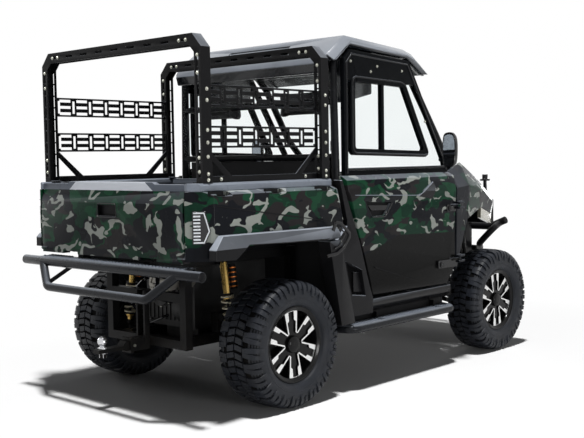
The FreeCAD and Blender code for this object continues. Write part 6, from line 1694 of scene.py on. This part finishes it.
# Stage
@dataclass
class Stage:
    """Floor, sky, lamps and the camera at the photograph's place."""

    lens: float = 60.3
    place: tuple = (-3564.9, -4026.1, 1262.9)
    yaw: float = 42.9
    pitch: float = -3.6
    roll: float = -0.9
    floor_half: float = 60.0

    def camera(self) -> None:
        """Creates the camera from its place and its three angles."""
        yaw, pitch, roll = (math.radians(v) for v in (self.yaw, self.pitch, self.roll))
        ahead = np.array([math.cos(yaw) * math.cos(pitch), math.sin(yaw) * math.cos(pitch), math.sin(pitch)])
        right = np.array([math.sin(yaw), -math.cos(yaw), 0.0])
        up = np.cross(right, ahead)
        across = math.cos(roll) * right + math.sin(roll) * up
        above = -math.sin(roll) * right + math.cos(roll) * up
        data = bpy.data.cameras.new("camera")
        data.lens = self.lens
        data.sensor_width = 36.0
        data.clip_end = 200.0
        camera = linked("camera", data)
        matrix = np.eye(4)
        matrix[:3] = np.stack([across, above, -ahead, placed(self.place)], axis=1)
        camera.matrix_world = Matrix(matrix.tolist())
        bpy.context.scene.camera = camera

    def floor(self) -> None:
        """A wide pale floor whose far parts show as white to the camera."""
        mesh = bpy.data.meshes.new("floor")
        size = self.floor_half
        mesh.from_pydata([(x, y, 0) for x, y in rectangle(-size, size, -size, size)], [], [(0, 1, 2, 3)])
        floor = linked("floor", mesh)
        material = bpy.data.materials.new("Pale floor")
        material.use_nodes = True
        material.node_tree.nodes.clear()
        s = Sheet(material.node_tree)
        matt = s.add("ShaderNodeBsdfDiffuse", {"Color": (0.94, 0.94, 0.94, 1)})
        shaped = s.add("ShaderNodeMapping", {"Vector": s.place(), "Location": (0.1, 0.1, 0.0),
                                             "Scale": (0.62, 1.0, 1.0)})
        reach = s.add("ShaderNodeVectorMath", {0: shaped.outputs[0]}, operation="LENGTH").outputs["Value"]
        far = s.maths("MULTIPLY", s.range(reach, 1.2, 2.1, 0.0, 1.0), s.seen())
        white = s.add("ShaderNodeEmission", {"Color": (1, 1, 1, 1), "Strength": 1.0})
        mix = s.add("ShaderNodeMixShader", {0: far, 1: matt.outputs[0], 2: white.outputs[0]})
        s.add("ShaderNodeOutputMaterial", {0: mix.outputs[0]})
        mesh.materials.append(material)

    def world(self) -> None:
        """A soft white sky, plain white where the camera, a mirror or glass sees it."""
        world = bpy.data.worlds.new("sky")
        bpy.context.scene.world = world
        world.use_nodes = True
        world.node_tree.nodes.clear()
        s = Sheet(world.node_tree)
        soft = s.add("ShaderNodeBackground", {"Color": (0.95, 0.97, 1.0, 1), "Strength": 0.04})
        white = s.add("ShaderNodeBackground", {"Color": (1, 1, 1, 1), "Strength": 1.0})
        mix = s.add("ShaderNodeMixShader", {0: s.seen(), 1: soft.outputs[0], 2: white.outputs[0]})
        s.add("ShaderNodeOutputWorld", {0: mix.outputs[0]})

    def lamps(self) -> None:
        """A main panel overhead, a low fill near the camera and weaker ones at the far side and the front."""
        for name, spot, aim, size, power in (
                ("key", (-2.8, -2.4, 16.0), (0.0, 0.0, 0.5), 1.2, 2700.0),
                ("near fill", (-1.3, -6.4, 0.6), (0.0, 0.0, 0.8), 1.1, 80.0),
                ("far fill", (0.2, 6.4, 0.7), (0.0, 0.2, 0.8), 1.3, 52.0),
                ("front fill", (6.0, 1.4, 0.8), (0.9, 0.0, 0.9), 1.5, 50.0)):
            data = bpy.data.lights.new(name, "AREA")
            data.shape = "SQUARE"
            data.size = size
            data.energy = power
            lamp = linked(name, data)
            lamp.location = spot
            lamp.rotation_euler = (Vector(spot) - Vector(aim)).to_track_quat("Z", "Y").to_euler()

    def build(self) -> None:
        """Sets the view and builds the whole stage."""
        bpy.context.scene.view_settings.view_transform = "Standard"
        self.camera()
        self.floor()
        self.world()
        self.lamps()
        log.info("stage")


def wheels() -> list[Wheel]:
    """The four wheels, in the order rear left, rear right, front left, front right."""
    sizes = (("rear", 0.0, 1230.0, 270.0), ("front", WHEELBASE, 1270.0, 225.0))
    return [Wheel(f"{end}_{side.name.lower()}", side, x, track, width)
            for end, x, track, width in sizes for side in Side]


def main() -> None:
    """Builds the vehicle's pieces in order."""
    logging.basicConfig(level=logging.INFO, format="%(message)s")
    Stage().build()
    shop = Workshop(Palette())
    Shell().build(shop)
    for wheel in wheels():
        wheel.build(shop)
    parts = (TailLamps(), Bed(), Rack(), Treads(), Hitch(), Sills(), Underside(), DoorTrim(Side.LEFT),
             DoorTrim(Side.RIGHT))
    for part in parts:
        part.build(shop)
    shocks(shop)
    seats(shop)
    log.info("sizes written")


if __name__ == "__main__":
    main()
